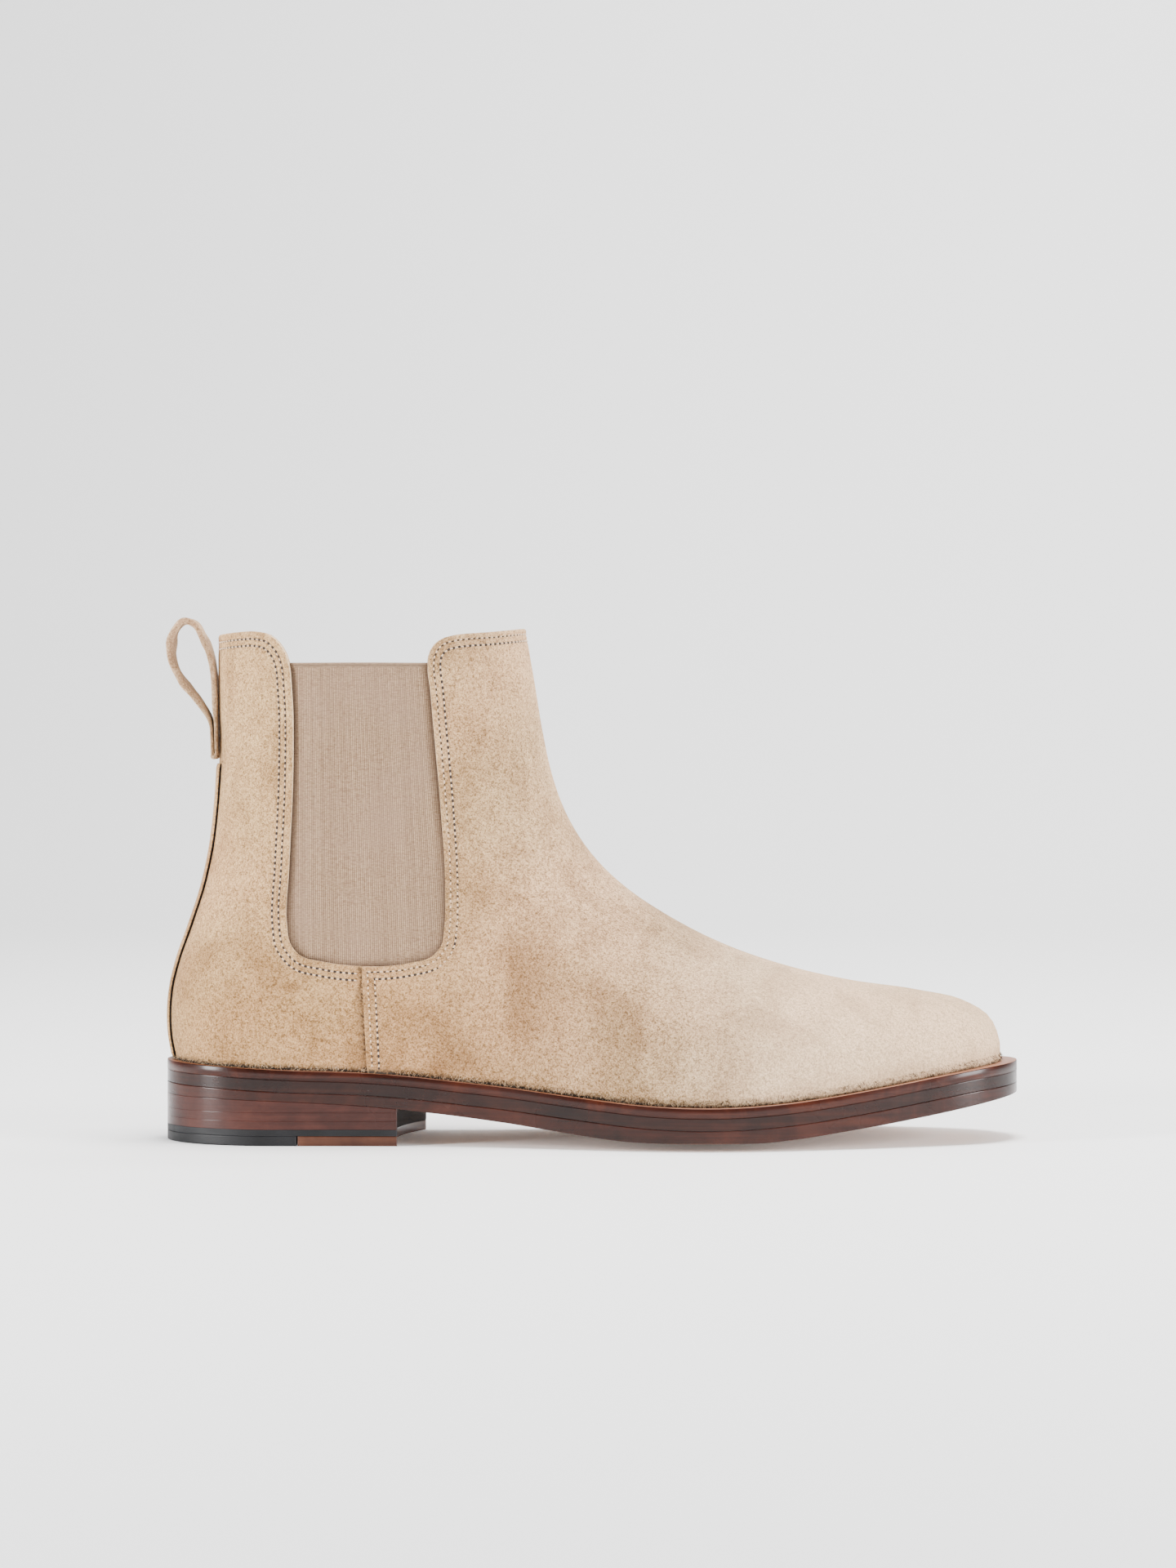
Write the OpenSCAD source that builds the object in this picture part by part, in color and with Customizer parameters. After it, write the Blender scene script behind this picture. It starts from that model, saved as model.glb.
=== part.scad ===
// Right-foot chelsea boot on a layered leather sole.
// +X points to the toe, +Y to the medial side and +Z up. Millimetres.
// The origin is on the ground, under the middle of the boot's bounding box.

/* [Size] */
// Length of the outsole from heel to toe
sole_length = 305.4; // [290:0.2:320]

/* [Upper] */
// Thickness of the suede
suede_t = 1.3; // [1.0:0.1:1.4]
// Thickness of the layer between suede and lining: gusset, counter and toe puff
middle_t = 0.9; // [0.6:0.1:1.0]
// Thickness of the lining
lining_t = 0.8; // [0.6:0.1:1.0]
// Gap between neighbouring layers
layer_gap = 0.1; // [0.05:0.05:0.15]
// Width of the lasting margin that turns in under the foot
lasting_margin = 12; // [9:0.5:13]
// Width of the backstay and of the pull loop
strap_w = 14; // [10:1:18]
// Thickness of the pull loop
strap_t = 1.9; // [1.2:0.1:1.9]

/* [Sole] */
// Thickness of the welt
welt_t = 3.6; // [3.0:0.1:3.8]
// Thickness of the midsole
midsole_t = 4.3; // [3.6:0.1:4.4]
// Thickness of the insole board
insole_t = 2.5; // [2.0:0.1:3.0]
// Thickness of the sock liner
sock_t = 1.2; // [0.8:0.1:1.5]
// Thickness of the steel shank
shank_t = 1.4; // [1.0:0.1:1.6]

/* [Heel] */
// Thickness of the rubber top piece
top_piece_t = 5.8; // [5.0:0.1:6.4]
// Thickness of the leather insert let into the top piece
insert_t = 3.5; // [3.0:0.1:4.0]
// Thickness of each flat heel lift
lift_t = 3; // [2.4:0.1:3.2]
// Nails in the heel
nail_count = 7; // [3:1:9]
// Radius of a nail
nail_r = 0.9; // [0.6:0.1:1.1]

/* [Hidden] */
$fn = 64;
// Everything follows the length of the sole from this nominal size.
k = sole_length / 305.4;
// The middle of the shaft.
shaft_y = 3.2 * k;
// Gap where two pieces meet edge to edge.
seam_gap = 0.3;
// Beyond the boot in any direction.
far = 400;

// Profiles in the side view, as [x, z] at the nominal size.
front_points = k * [
    [146.8, 27.6], [146.4, 35.5], [143, 43.2], [134, 49], [118, 52.8], [92, 56.7],
    [70, 61.8], [48, 69.4], [27, 80], [9.6, 92], [-2, 104.3], [-9, 115.8],
    [-14, 129], [-17.8, 146], [-20.6, 163], [-24.2, 183.8]
];
back_points = k * [
    [-149.3, 28.6], [-150.9, 37], [-151.3, 46], [-150.4, 55], [-148.2, 64], [-144, 76],
    [-139.4, 90], [-136, 106], [-134.2, 122], [-133.3, 140], [-133.7, 160], [-133.7, 182]
];
// Top face of the welt, and the tread along the middle of the foot.
feather_points = k * [
    [-154, 28.9], [-130, 27.8], [-104, 26.6], [-80, 25.8], [-64, 24.6], [-47, 22.9],
    [-30, 21.2], [-7, 18.5], [20, 15.8], [38, 15.2], [55, 15.6], [72, 17], [101, 21],
    [125, 24.9], [140, 27], [154, 28.3]
];
tread_points = k * [
    [-154, 16.8], [-104, 15.4], [-80, 14], [-64, 12.5], [-47, 10.7], [-30, 8.6],
    [-7, 5.1], [16, 1.6], [32, 0.1], [42, 0], [54, 0.6], [70, 3], [86, 5.6], [104, 8.4],
    [122, 11.4], [140, 14.6], [154, 16.9]
];
// Plan view: where the middle of the foot runs, its half width, and how far the sole stands out.
centre_points = k * [
    [-154, 3.2], [-120, 3.2], [-90, 3.2], [-60, 1.7], [-30, -0.8], [0, -2.9], [25, -2.4],
    [45, -0.6], [65, 1.6], [90, 4.2], [115, 6.2], [154, 7.2]
];
width_points = k * [
    [-154, 31.5], [-120, 32], [-90, 31.8], [-60, 31.3], [-30, 33.5], [0, 39.5], [25, 45.5],
    [45, 48], [65, 47], [90, 42.5], [115, 36.2], [154, 27.5]
];
edge_points = k * [
    [-150, 3.2], [-138, 1.8], [-100, 1.6], [-60, 1.7], [0, 2.6], [60, 3.2], [110, 3.8], [147, 6]
];
// Across the ball the tread is part of a drum that lies along the foot.
drum_r = 420;
// How deep the rounding behind the front profile and ahead of the back profile goes.
front_round_points = k * [
    [-60, 55], [-25, 55], [0, 58], [20, 56], [40, 50], [60, 42], [80, 36], [100, 32], [154, 30]
];
back_round_points = k * [[20, 35], [60, 38], [110, 44], [185, 52]];
// Edge of the gusset opening, from the rear of the topline round to the front of it.
window_points = k * [
    [-142, 179.4], [-133.8, 180.25], [-126, 181], [-118.6, 181.1], [-114.2, 180],
    [-110.9, 177.4], [-108.1, 173.2], [-106.8, 169], [-106, 161], [-105.6, 130],
    [-106.9, 98], [-107.4, 77.5], [-106.3, 71.5], [-103, 67.3], [-95, 65], [-81, 63.4],
    [-64.3, 64.5], [-56.2, 67], [-53.2, 70.5], [-52, 77], [-51.7, 88], [-53.2, 119],
    [-55.4, 145], [-56.8, 161], [-57.6, 168.5], [-57.2, 172.7], [-55.3, 176.4],
    [-52.4, 178.6], [-48.5, 179.8], [-43, 180.5], [-36.5, 181], [-30.4, 181.7], [-17, 183.6]
];
// The side seam runs from the lowest point of the opening towards here.
seam_foot = k * [-78.2, 0];
// On the medial side the opening reaches this much further back, and the shift fades out over
// these lengths behind its lowest point and ahead of the heel seam.
medial_reach = 5.5 * k;
reach_fade = k * [18, 20];
// Outline of the gusset, which reaches behind the edges of the opening.
gusset_points = k * [[-112, 57], [-43.5, 57], [-50, 171], [-112, 171]];
// The vamp bends along this line when the gussets stretch.
flex_front = k * [-7.5, 113];
flex_rear = k * [-60, 106];
// Middle line of the pull loop, from its outer end round to its inner end.
loop_points = k * [
    [-136.64, 137.2], [-136.95, 144], [-137.7, 150.5], [-141.8, 157.8], [-146.4, 163.2],
    [-149.8, 169.3], [-150.9, 176], [-149.6, 182], [-146.1, 185.3], [-142.5, 184.3],
    [-139.6, 180], [-137.2, 174.5], [-135.7, 167.5], [-135.08, 160], [-134.88, 150],
    [-134.62, 137.2]
];
// The rolled foot of the pull loop.
loop_hinge = k * [-135.55, 136.8];
loop_roll_r = 1.7;
// The backstay runs from the welt up to the rolled foot.
backstay_t = 1.26;
backstay_foot = 29.4 * k;
backstay_top = loop_hinge[1] - loop_roll_r - seam_gap;
// The grid of places on the upper: columns go round it and rows climb it.
column_step = 0.04;
row_count = 26;
// First and last column and row of each piece.
vamp_columns = [7, 43];
quarter_columns = 11;
gusset_rows = [5, 25];
gusset_columns = [4, 19];
counter_columns = 6;
counter_rows = 5;
puff_columns = [20, 30];
puff_rows = 5;
backstay_columns = 4;
// The column that is back at the middle of the heel.
heel_column = 50;
// Corners of the foot's and of the sole's outline in plan.
foot_corners = 80;
sole_corners = 88;
// The foot's own shape gives way to the shaft's above this height, over this length.
ankle_z = 42;
ankle_rise = 60;
// Half width of the shaft at the ankle and at the topline, and the heights between them.
shaft_half = [31.5, 34];
shaft_span = [100, 180];
// Over this height above the welt the upper draws in by this much on each side.
tuck_height = 9 * k;
tuck_depth = 1.8 * k;

// Room between the turned-in margins and the flat sheets above and below them.
margin_gap = 0.25;
// Depths below the outer face of the upper.
middle_d = suede_t + layer_gap;
lining_d = middle_d + middle_t + layer_gap;
inside_d = lining_d + lining_t;
insole_d = inside_d + layer_gap;

// A smooth curve through points in n steps from each to the next, by chord length.
function chord(p, i) = norm(p[i + 1] - p[i]);
function tangent(p, i) =
    i == 0 ? (p[1] - p[0]) / chord(p, 0)
    : i == len(p) - 1 ? (p[i] - p[i - 1]) / chord(p, i - 1)
    : let (a = chord(p, i - 1), b = chord(p, i))
        ((p[i] - p[i - 1]) / a * b + (p[i + 1] - p[i]) / b * a) / (a + b);
function on_span(p, i, t) =
    let (h = chord(p, i))
    (2 * t ^ 3 - 3 * t ^ 2 + 1) * p[i] + (t ^ 3 - 2 * t ^ 2 + t) * h * tangent(p, i)
    + (3 * t ^ 2 - 2 * t ^ 3) * p[i + 1] + (t ^ 3 - t ^ 2) * h * tangent(p, i + 1);
function smooth(p, n) =
    [for (i = [0 : len(p) - 2], j = [0 : n - 1]) on_span(p, i, j / n), p[len(p) - 1]];
function swapped(p) = [for (q = p) [q[1], q[0]]];
function lengths(p, i = 0, sum = 0) =
    i == len(p) - 1 ? [sum] : concat([sum], lengths(p, i + 1, sum + chord(p, i)));
function by_length(p) =
    let (s = lengths(p)) [for (i = [0 : len(p) - 1]) [s[i] / s[len(s) - 1], p[i]]];
function at_length(table, v) =
    [lookup(v, [for (r = table) [r[0], r[1][0]]]), lookup(v, [for (r = table) [r[0], r[1][1]]])];
function mix(a, b, t) = a + (b - a) * t;
function ease(t) = let (u = min(1, max(0, t))) u * u * (3 - 2 * u);

front_curve = smooth(front_points, 5);
back_curve = smooth(back_points, 4);
front_by_z = swapped(front_curve);
back_by_z = swapped(back_curve);
front_by_length = by_length(front_curve);
back_by_length = by_length(back_curve);
feather_curve = smooth(feather_points, 2);
tread_curve = smooth(tread_points, 2);
centre_curve = smooth(centre_points, 3);
width_curve = smooth(width_points, 3);
edge_curve = smooth(edge_points, 3);
front_round_curve = smooth(front_round_points, 3);
back_round_curve = smooth(back_round_points, 3);
window_curve = smooth(window_points, 3);
window_low = 15 * 3; // the lowest point, where the side seam ends

function feather(x) = lookup(x, feather_curve);
// Height of the front profile at x. Behind the topline it climbs steeply, out of the way.
steep = [5.7, 0.3];
function front_height(x) =
    let (top = front_points[len(front_points) - 1], past = top[0] - x)
    past > 0 ? top[1] + steep[0] * past + steep[1] * past ^ 2 : lookup(x, front_curve);
// Distance to the front profile, true where that profile is straight.
function front_distance(x, z) =
    let (dx = lookup(z, front_by_z) - x, dz = front_height(x) - z)
    min(dx, dz) <= 0 ? 0 : 1 / sqrt(1 / dx ^ 2 + 1 / dz ^ 2);
function rounding(d, r) = let (s = min(1, max(0, d / r))) 2 * s - s * s;
// How much of the shaft's own shape a height has: 0 at the foot, 1 at the ankle.
function shaft_share(z) = ease((z / k - ankle_z) / ankle_rise);
function half_width(x, z) =
    let (
        climb = ease((z / k - shaft_span[0]) / (shaft_span[1] - shaft_span[0])),
        shaft = k * mix(shaft_half[0], shaft_half[1], climb),
        tuck = max(0, 1 - (z - feather(x)) / tuck_height)
    )
    mix(lookup(x, width_curve), shaft, shaft_share(z)) - tuck_depth * tuck ^ 2;
function middle_y(x, z) = mix(lookup(x, centre_curve), shaft_y, shaft_share(z));
// Square of the half width of the upper's outer face at a place in the side view.
function width_squared(x, z) =
    half_width(x, z) ^ 2
    * rounding(front_distance(x, z), lookup(x, front_round_curve))
    * rounding(x - lookup(z, back_by_z), lookup(z, back_round_curve));

// A place on the upper: a runs from the heel (0) by the lateral side to the toe (1) and back by
// the medial side to the heel (2), or from -1 to 0 along the medial side. v runs up from the feather.
function side_of(a) = a >= 0 && a <= 1 ? -1 : 1;
function share_of(a) = (1 - cos(180 * (a > 1 ? 2 - a : abs(a)))) / 2;
function ring_place(a, v) =
    let (
        rear = at_length(back_by_length, v), fore = at_length(front_by_length, v),
        p = mix(rear, fore, share_of(a)),
        rear_foot = back_points[0], fore_foot = front_points[0],
        foot = mix(rear_foot, fore_foot, share_of(a)),
        sag = feather(foot[0]) - mix(feather(rear_foot[0]), feather(fore_foot[0]), share_of(a))
    )
    [p[0], p[1] + (1 - v) ^ 2 * sag];
function on_upper(a, p) = [p[0], middle_y(p[0], p[1]) + side_of(a) * sqrt(width_squared(p[0], p[1])), p[1]];
// The outward direction there, from the slopes of the width over a short step.
function outward(a, p) =
    let (
        h = 0.4, s = side_of(a), w = sqrt(width_squared(p[0], p[1])),
        fx = (width_squared(p[0] + h, p[1]) - width_squared(p[0] - h, p[1])) / (4 * h),
        fz = (width_squared(p[0], p[1] + h) - width_squared(p[0], p[1] - h)) / (4 * h),
        cx = (middle_y(p[0] + h, p[1]) - middle_y(p[0] - h, p[1])) / (2 * h),
        cz = (middle_y(p[0], p[1] + h) - middle_y(p[0], p[1] - h)) / (2 * h),
        n = [-fx - s * cx * w, s * w, -fz - s * cz * w]
    )
    n / norm(n);
function wall_point(a, v, d) = let (p = ring_place(a, v)) on_upper(a, p) - d * outward(a, p);
// A point of the lasting margin: inset from the feather, d above the welt.
function margin_point(a, d, inset) =
    let (
        p = ring_place(a, 0), q = on_upper(a, p), n = outward(a, p),
        flat = [n[0], n[1]] / norm([n[0], n[1]]), x = q[0] - inset * flat[0]
    )
    [x, q[1] - inset * flat[1], feather(x) + margin_gap + d];
function upper_column(a, row0, row1, d, margin) = concat(
    margin ? [margin_point(a, d, lasting_margin), margin_point(a, d, d)] : [],
    [for (i = [margin ? 1 : row0 : row1]) wall_point(a, i / row_count, d)]
);
// A piece that starts or ends at the middle of the back stops just short of it.
back_split = 0.001;

// A closed slab between two grids of points, each a list of columns that run bottom to top.
// Columns follow each other to the right, seen from outside.
module slab(outer, inner) {
    n = len(outer);
    m = len(outer[0]);
    function o(i, j) = i * m + j;
    function q(i, j) = n * m + i * m + j;
    points = concat([for (c = outer) each c], [for (c = inner) each c]);
    faces = concat(
        [for (i = [0 : n - 2], j = [0 : m - 2]) each [
            [o(i, j), o(i, j + 1), o(i + 1, j + 1)], [o(i, j), o(i + 1, j + 1), o(i + 1, j)],
            [q(i, j), q(i + 1, j + 1), q(i, j + 1)], [q(i, j), q(i + 1, j), q(i + 1, j + 1)]
        ]],
        [for (i = [0 : n - 2]) each [
            [o(i, 0), o(i + 1, 0), q(i + 1, 0)], [o(i, 0), q(i + 1, 0), q(i, 0)],
            [o(i, m - 1), q(i + 1, m - 1), o(i + 1, m - 1)], [o(i, m - 1), q(i, m - 1), q(i + 1, m - 1)]
        ]],
        [for (j = [0 : m - 2]) each [
            [o(0, j), q(0, j + 1), o(0, j + 1)], [o(0, j), q(0, j), q(0, j + 1)],
            [o(n - 1, j), o(n - 1, j + 1), q(n - 1, j + 1)], [o(n - 1, j), q(n - 1, j + 1), q(n - 1, j)]
        ]]
    );
    polyhedron(points, faces, convexity = 8);
}

// A piece of the upper's wall between two depths. Every piece uses the same grid of places,
// so that the flat facets of neighbouring layers stay parallel.
module upper_shell(column0, column1, row0, row1, d0, d1, margin = false) {
    split = column0 == 0 ? back_split : column1 == 0 ? -back_split : 0;
    places = [for (i = [column0 : column1]) i == 0 ? split : i * column_step];
    slab(
        [for (a = places) upper_column(a, row0, row1, d0, margin)],
        [for (a = places) upper_column(a, row0, row1, d1, margin)]
    );
}

// A prism through the whole boot with this outline in the side view.
module side_prism(outline) {
    rotate([90, 0, 0]) linear_extrude(far, center = true) polygon(outline);
}

// The same through the lateral (-1) or the medial (1) half only.
module half_prism(outline, side) {
    translate([0, shaft_y, 0]) rotate([90, 0, 0])
        translate([0, 0, side < 0 ? 0 : -far]) linear_extrude(far) polygon(outline);
}

// Outlines in the side view. Quarter and vamp meet at the side seam and leave the window open.
// The medial side's rear edge lies further back by this reach, less so towards the heel seam.
function window_rear(reach) = [
    for (i = [window_low : -1 : 0])
        let (
            p = window_curve[i],
            before = ease((window_curve[window_low][0] - p[0]) / reach_fade[0]),
            after = ease((p[0] - window_points[1][0]) / reach_fade[1])
        )
        p - [reach * before * after, 0]
];
window_fore = [for (i = [window_low : len(window_curve) - 1]) window_curve[i]];
function quarter_outline(reach) = concat(
    [[-far, 0], seam_foot], window_rear(reach), [[-far, window_points[0][1]]]
);
vamp_outline = concat(
    [seam_foot + [seam_gap, 0]], window_fore,
    [[far, window_points[len(window_points) - 1][1]], [far, 0]]
);
// The bend line, drawn on past both sides of the boot.
flex_reach = 6 * (flex_rear - flex_front);

module under_flex() {
    side_prism([
        [-far, -far], [far, -far], flex_front - flex_reach - [0, seam_gap],
        flex_front + flex_reach - [0, seam_gap]
    ]);
}
module over_flex() {
    side_prism([flex_front + flex_reach, flex_front - flex_reach, [far, far], [-far, far]]);
}

module vamp_layer(d0, d1, margin) {
    intersection() {
        upper_shell(vamp_columns[0], vamp_columns[1], 0, row_count, d0, d1, margin);
        side_prism(vamp_outline);
    }
}
module vamp() {
    color("#d3b899") intersection() {
        vamp_layer(0, suede_t, true);
        under_flex();
    }
}
module vamp_shaft() {
    color("#d3b899") intersection() {
        vamp_layer(0, suede_t, false);
        over_flex();
    }
}
module vamp_lining() {
    color("#c9a77c") intersection() {
        vamp_layer(lining_d, inside_d, true);
        under_flex();
    }
}
module vamp_lining_shaft() {
    color("#c9a77c") intersection() {
        vamp_layer(lining_d, inside_d, false);
        over_flex();
    }
}
module quarter(column0, column1, reach) {
    color("#d3b899") intersection() {
        upper_shell(column0, column1, 0, row_count, 0, suede_t, true);
        side_prism(quarter_outline(reach));
    }
}
module quarter_lateral() {
    quarter(0, quarter_columns, 0);
}
module quarter_medial() {
    quarter(-quarter_columns, 0, medial_reach);
}
module quarter_lining() {
    color("#c9a77c") intersection() {
        upper_shell(-quarter_columns, quarter_columns, 0, row_count, lining_d, inside_d, true);
        union() {
            half_prism(quarter_outline(0), -1);
            half_prism(quarter_outline(medial_reach), 1);
        }
    }
}
module gusset(column0, column1, reach) {
    color("#b89f85") intersection() {
        upper_shell(column0, column1, gusset_rows[0], gusset_rows[1], middle_d, middle_d + middle_t);
        side_prism([for (p = gusset_points) p[0] < seam_foot[0] ? p - [reach, 0] : p]);
    }
}
module gusset_lateral() {
    gusset(gusset_columns[0], gusset_columns[1], 0);
}
module gusset_medial() {
    gusset(heel_column - gusset_columns[1], heel_column - gusset_columns[0], medial_reach);
}
module heel_counter() {
    color("#8d6a48") upper_shell(
        -counter_columns, counter_columns, 0, counter_rows, middle_d, middle_d + middle_t, true
    );
}
module toe_puff() {
    color("#8d6a48") upper_shell(
        puff_columns[0], puff_columns[1], 0, puff_rows, middle_d, middle_d + middle_t, true
    );
}
module backstay() {
    color("#cbb091") intersection() {
        upper_shell(-backstay_columns, backstay_columns, 0, row_count, -layer_gap - backstay_t, -layer_gap);
        translate([-far, shaft_y - strap_w / 2, backstay_foot])
            cube([far, strap_w, backstay_top - backstay_foot]);
    }
}

// A prism standing on the ground with this outline in plan.
module plan_prism(outline) {
    linear_extrude(far) polygon(outline);
}
// The foot's outline at the feather line, this far inside it. Outside it for the sole.
function foot_outline(inset) = [
    for (i = [0 : foot_corners - 1])
        let (q = margin_point(2 * i / foot_corners, 0, inset)) [q[0], q[1]]
];
function sole_outline() = [
    for (i = [0 : sole_corners - 1])
        let (a = 2 * i / sole_corners, q = margin_point(a, 0, -lookup(ring_place(a, 0)[0], edge_curve)))
        [q[0], q[1]]
];
function raised(curve, dz) = [for (p = curve) [p[0], p[1] + dz]];
function reversed(list) = [for (i = [len(list) - 1 : -1 : 0]) list[i]];
// The space between two curves of the side view.
module band(lower, upper) {
    side_prism(concat(lower, reversed(upper)));
}
// A sheet that follows the feather line between two heights above it.
module foot_sheet(outline, z0, z1) {
    intersection() {
        plan_prism(outline);
        band(raised(feather_curve, z0), raised(feather_curve, z1));
    }
}

// The sheets under the foot, by their heights above the feather line and how far they lie inside it.
insole_low = inside_d + 2 * margin_gap;
sock_low = insole_low + insole_t + layer_gap;
insole_inset = insole_d + 1;
sock_inset = insole_d + 1.3;
cork_inset = lasting_margin + 0.6;
cork_high = insole_low - layer_gap;
shank_w = 12;
shank_rear = k * [-96, 3];
shank_fore = k * [-12, -2];
shank_clearance = 0.2;
midsole_low = -welt_t - midsole_t;

module sock_liner() {
    color("#c49a67") foot_sheet(foot_outline(sock_inset), sock_low, sock_low + sock_t);
}
module insole() {
    color("#b08a5e") foot_sheet(foot_outline(insole_inset), insole_low, insole_low + insole_t);
}
module shank_plan(grow) {
    direction = shank_fore - shank_rear;
    for (p = [shank_rear, shank_fore]) translate(p) cylinder(h = far, r = shank_w / 2 + grow);
    translate(shank_rear) rotate([0, 0, atan2(direction[1], direction[0])])
        translate([0, -shank_w / 2 - grow, 0]) cube([norm(direction), shank_w + 2 * grow, far]);
}
module cork_filler() {
    color("#9c744a") difference() {
        foot_sheet(foot_outline(cork_inset), -welt_t, cork_high);
        intersection() {
            shank_plan(shank_clearance);
            band(
                raised(feather_curve, cork_high - shank_t - shank_clearance),
                raised(feather_curve, far / 2)
            );
        }
    }
}
module shank() {
    color("#9a9da1") intersection() {
        shank_plan(0);
        band(raised(feather_curve, cork_high - shank_t), raised(feather_curve, cork_high));
    }
}
module welt() {
    color("#8a4527") difference() {
        foot_sheet(sole_outline(), -welt_t, 0);
        plan_prism(foot_outline(lasting_margin));
    }
}
module midsole() {
    color("#54271a") foot_sheet(sole_outline(), midsole_low, -welt_t);
}

// Heel. Its front face is hollow and leans forward towards the medial side.
breast_r = 90 * k;
breast_centre = k * [19.3, -8.6];
// Rear edge of the leather insert.
insert_rear = -104 * k;
lift_low = top_piece_t + lift_t;
lift_high = lift_low + lift_t;
// The nails stand in an arc this far inside the feather line.
nail_inset = 9 * k;
nail_spread = 0.28;
nail_low = top_piece_t + 0.2;
nail_high = 17.6 * k;
bore_clearance = 0.1;

module heel_plan() {
    difference() {
        intersection() {
            plan_prism(sole_outline());
            translate([-far, -far, 0]) cube([far, 2 * far, far]);
        }
        translate([breast_centre[0], breast_centre[1], -1]) cylinder(h = far + 2, r = breast_r, $fn = 180);
        translate([breast_centre[0], -far, -1]) cube([far, 2 * far, far + 2]);
    }
}
module nail_set(r, low, high) {
    for (i = [0 : nail_count - 1]) {
        q = margin_point(mix(-nail_spread, nail_spread, i / (nail_count - 1)), 0, nail_inset);
        translate([q[0], q[1], low]) cylinder(h = high - low, r = r);
    }
}
module lift(low, high) {
    difference() {
        intersection() {
            heel_plan();
            translate([-far, -far, low]) cube([2 * far, 2 * far, high - low]);
        }
        nail_set(nail_r + bore_clearance, low - 1, high + 1);
    }
}
module outsole() {
    color("#6d3420") difference() {
        intersection() {
            plan_prism(sole_outline());
            band(tread_curve, raised(feather_curve, midsole_low));
            translate([-far, 0, drum_r]) rotate([0, 90, 0]) cylinder(h = 2 * far, r = drum_r, $fn = 360);
        }
        nail_set(nail_r + bore_clearance, 1, nail_high + bore_clearance);
    }
}
module heel_lift_upper() {
    color("#84503f") difference() {
        intersection() {
            heel_plan();
            band([[-far, lift_high], [far, lift_high]], tread_curve);
        }
        nail_set(nail_r + bore_clearance, lift_high - 1, nail_high);
    }
}
module heel_lift_middle() {
    color("#7b4637") lift(lift_low, lift_high);
}
module heel_lift_lower() {
    color("#84503f") lift(top_piece_t, lift_low);
}
module top_piece() {
    color("#26282b") difference() {
        intersection() {
            heel_plan();
            translate([-far, -far, 0]) cube([2 * far, 2 * far, top_piece_t]);
        }
        translate([insert_rear, -far, -1]) cube([far, 2 * far, insert_t + 1]);
    }
}
module top_piece_insert() {
    color("#8b4a2c") intersection() {
        heel_plan();
        translate([insert_rear + layer_gap, -far, 0]) cube([far, 2 * far, insert_t]);
    }
}
module heel_nails() {
    color("#b08d4f") nail_set(nail_r, nail_low, nail_high);
}

// Pull loop: a strap sewn at both ends, on a rolled foot.
loop_curve = smooth(loop_points, 5);
function loop_side(offset) = [
    for (i = [0 : len(loop_curve) - 1])
        let (t = tangent(loop_curve, i)) loop_curve[i] + offset * [-t[1], t[0]]
];
module pull_loop() {
    color("#c9ac8b") translate([0, shaft_y, 0]) {
        rotate([90, 0, 0]) linear_extrude(strap_w, center = true)
            polygon(concat(loop_side(strap_t / 2), reversed(loop_side(-strap_t / 2))));
        translate([loop_hinge[0], strap_w / 2, loop_hinge[1]])
            rotate([90, 0, 0]) cylinder(h = strap_w, r = loop_roll_r);
    }
}

vamp();
vamp_shaft();
quarter_lateral();
quarter_medial();
gusset_lateral();
gusset_medial();
backstay();
pull_loop();
vamp_lining();
vamp_lining_shaft();
quarter_lining();
heel_counter();
toe_puff();
sock_liner();
insole();
cork_filler();
shank();
welt();
midsole();
outsole();
heel_lift_upper();
heel_lift_middle();
heel_lift_lower();
top_piece();
top_piece_insert();
heel_nails();
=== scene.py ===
"""Beige suede chelsea boot on a burnished leather sole, seen from its outer side."""

import math

import bpy
import numpy as np
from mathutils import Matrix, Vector
from mathutils.geometry import delaunay_2d_cdt


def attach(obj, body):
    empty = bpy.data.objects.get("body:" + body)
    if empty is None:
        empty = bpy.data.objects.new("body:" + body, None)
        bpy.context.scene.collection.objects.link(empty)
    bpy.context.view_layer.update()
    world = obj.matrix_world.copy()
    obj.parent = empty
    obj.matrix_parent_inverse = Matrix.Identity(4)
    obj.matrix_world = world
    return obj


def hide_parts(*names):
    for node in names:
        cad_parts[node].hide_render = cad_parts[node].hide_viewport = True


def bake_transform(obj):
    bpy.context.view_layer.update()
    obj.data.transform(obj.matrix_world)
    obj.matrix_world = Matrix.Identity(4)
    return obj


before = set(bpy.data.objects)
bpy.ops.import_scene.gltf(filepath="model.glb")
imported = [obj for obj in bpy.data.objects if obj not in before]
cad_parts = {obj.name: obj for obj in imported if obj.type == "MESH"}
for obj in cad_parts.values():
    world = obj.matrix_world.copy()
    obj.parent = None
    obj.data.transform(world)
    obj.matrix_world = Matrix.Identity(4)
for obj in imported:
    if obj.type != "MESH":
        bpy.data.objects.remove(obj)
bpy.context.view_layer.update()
MM = 0.001
rng = np.random.default_rng(7)

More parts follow.
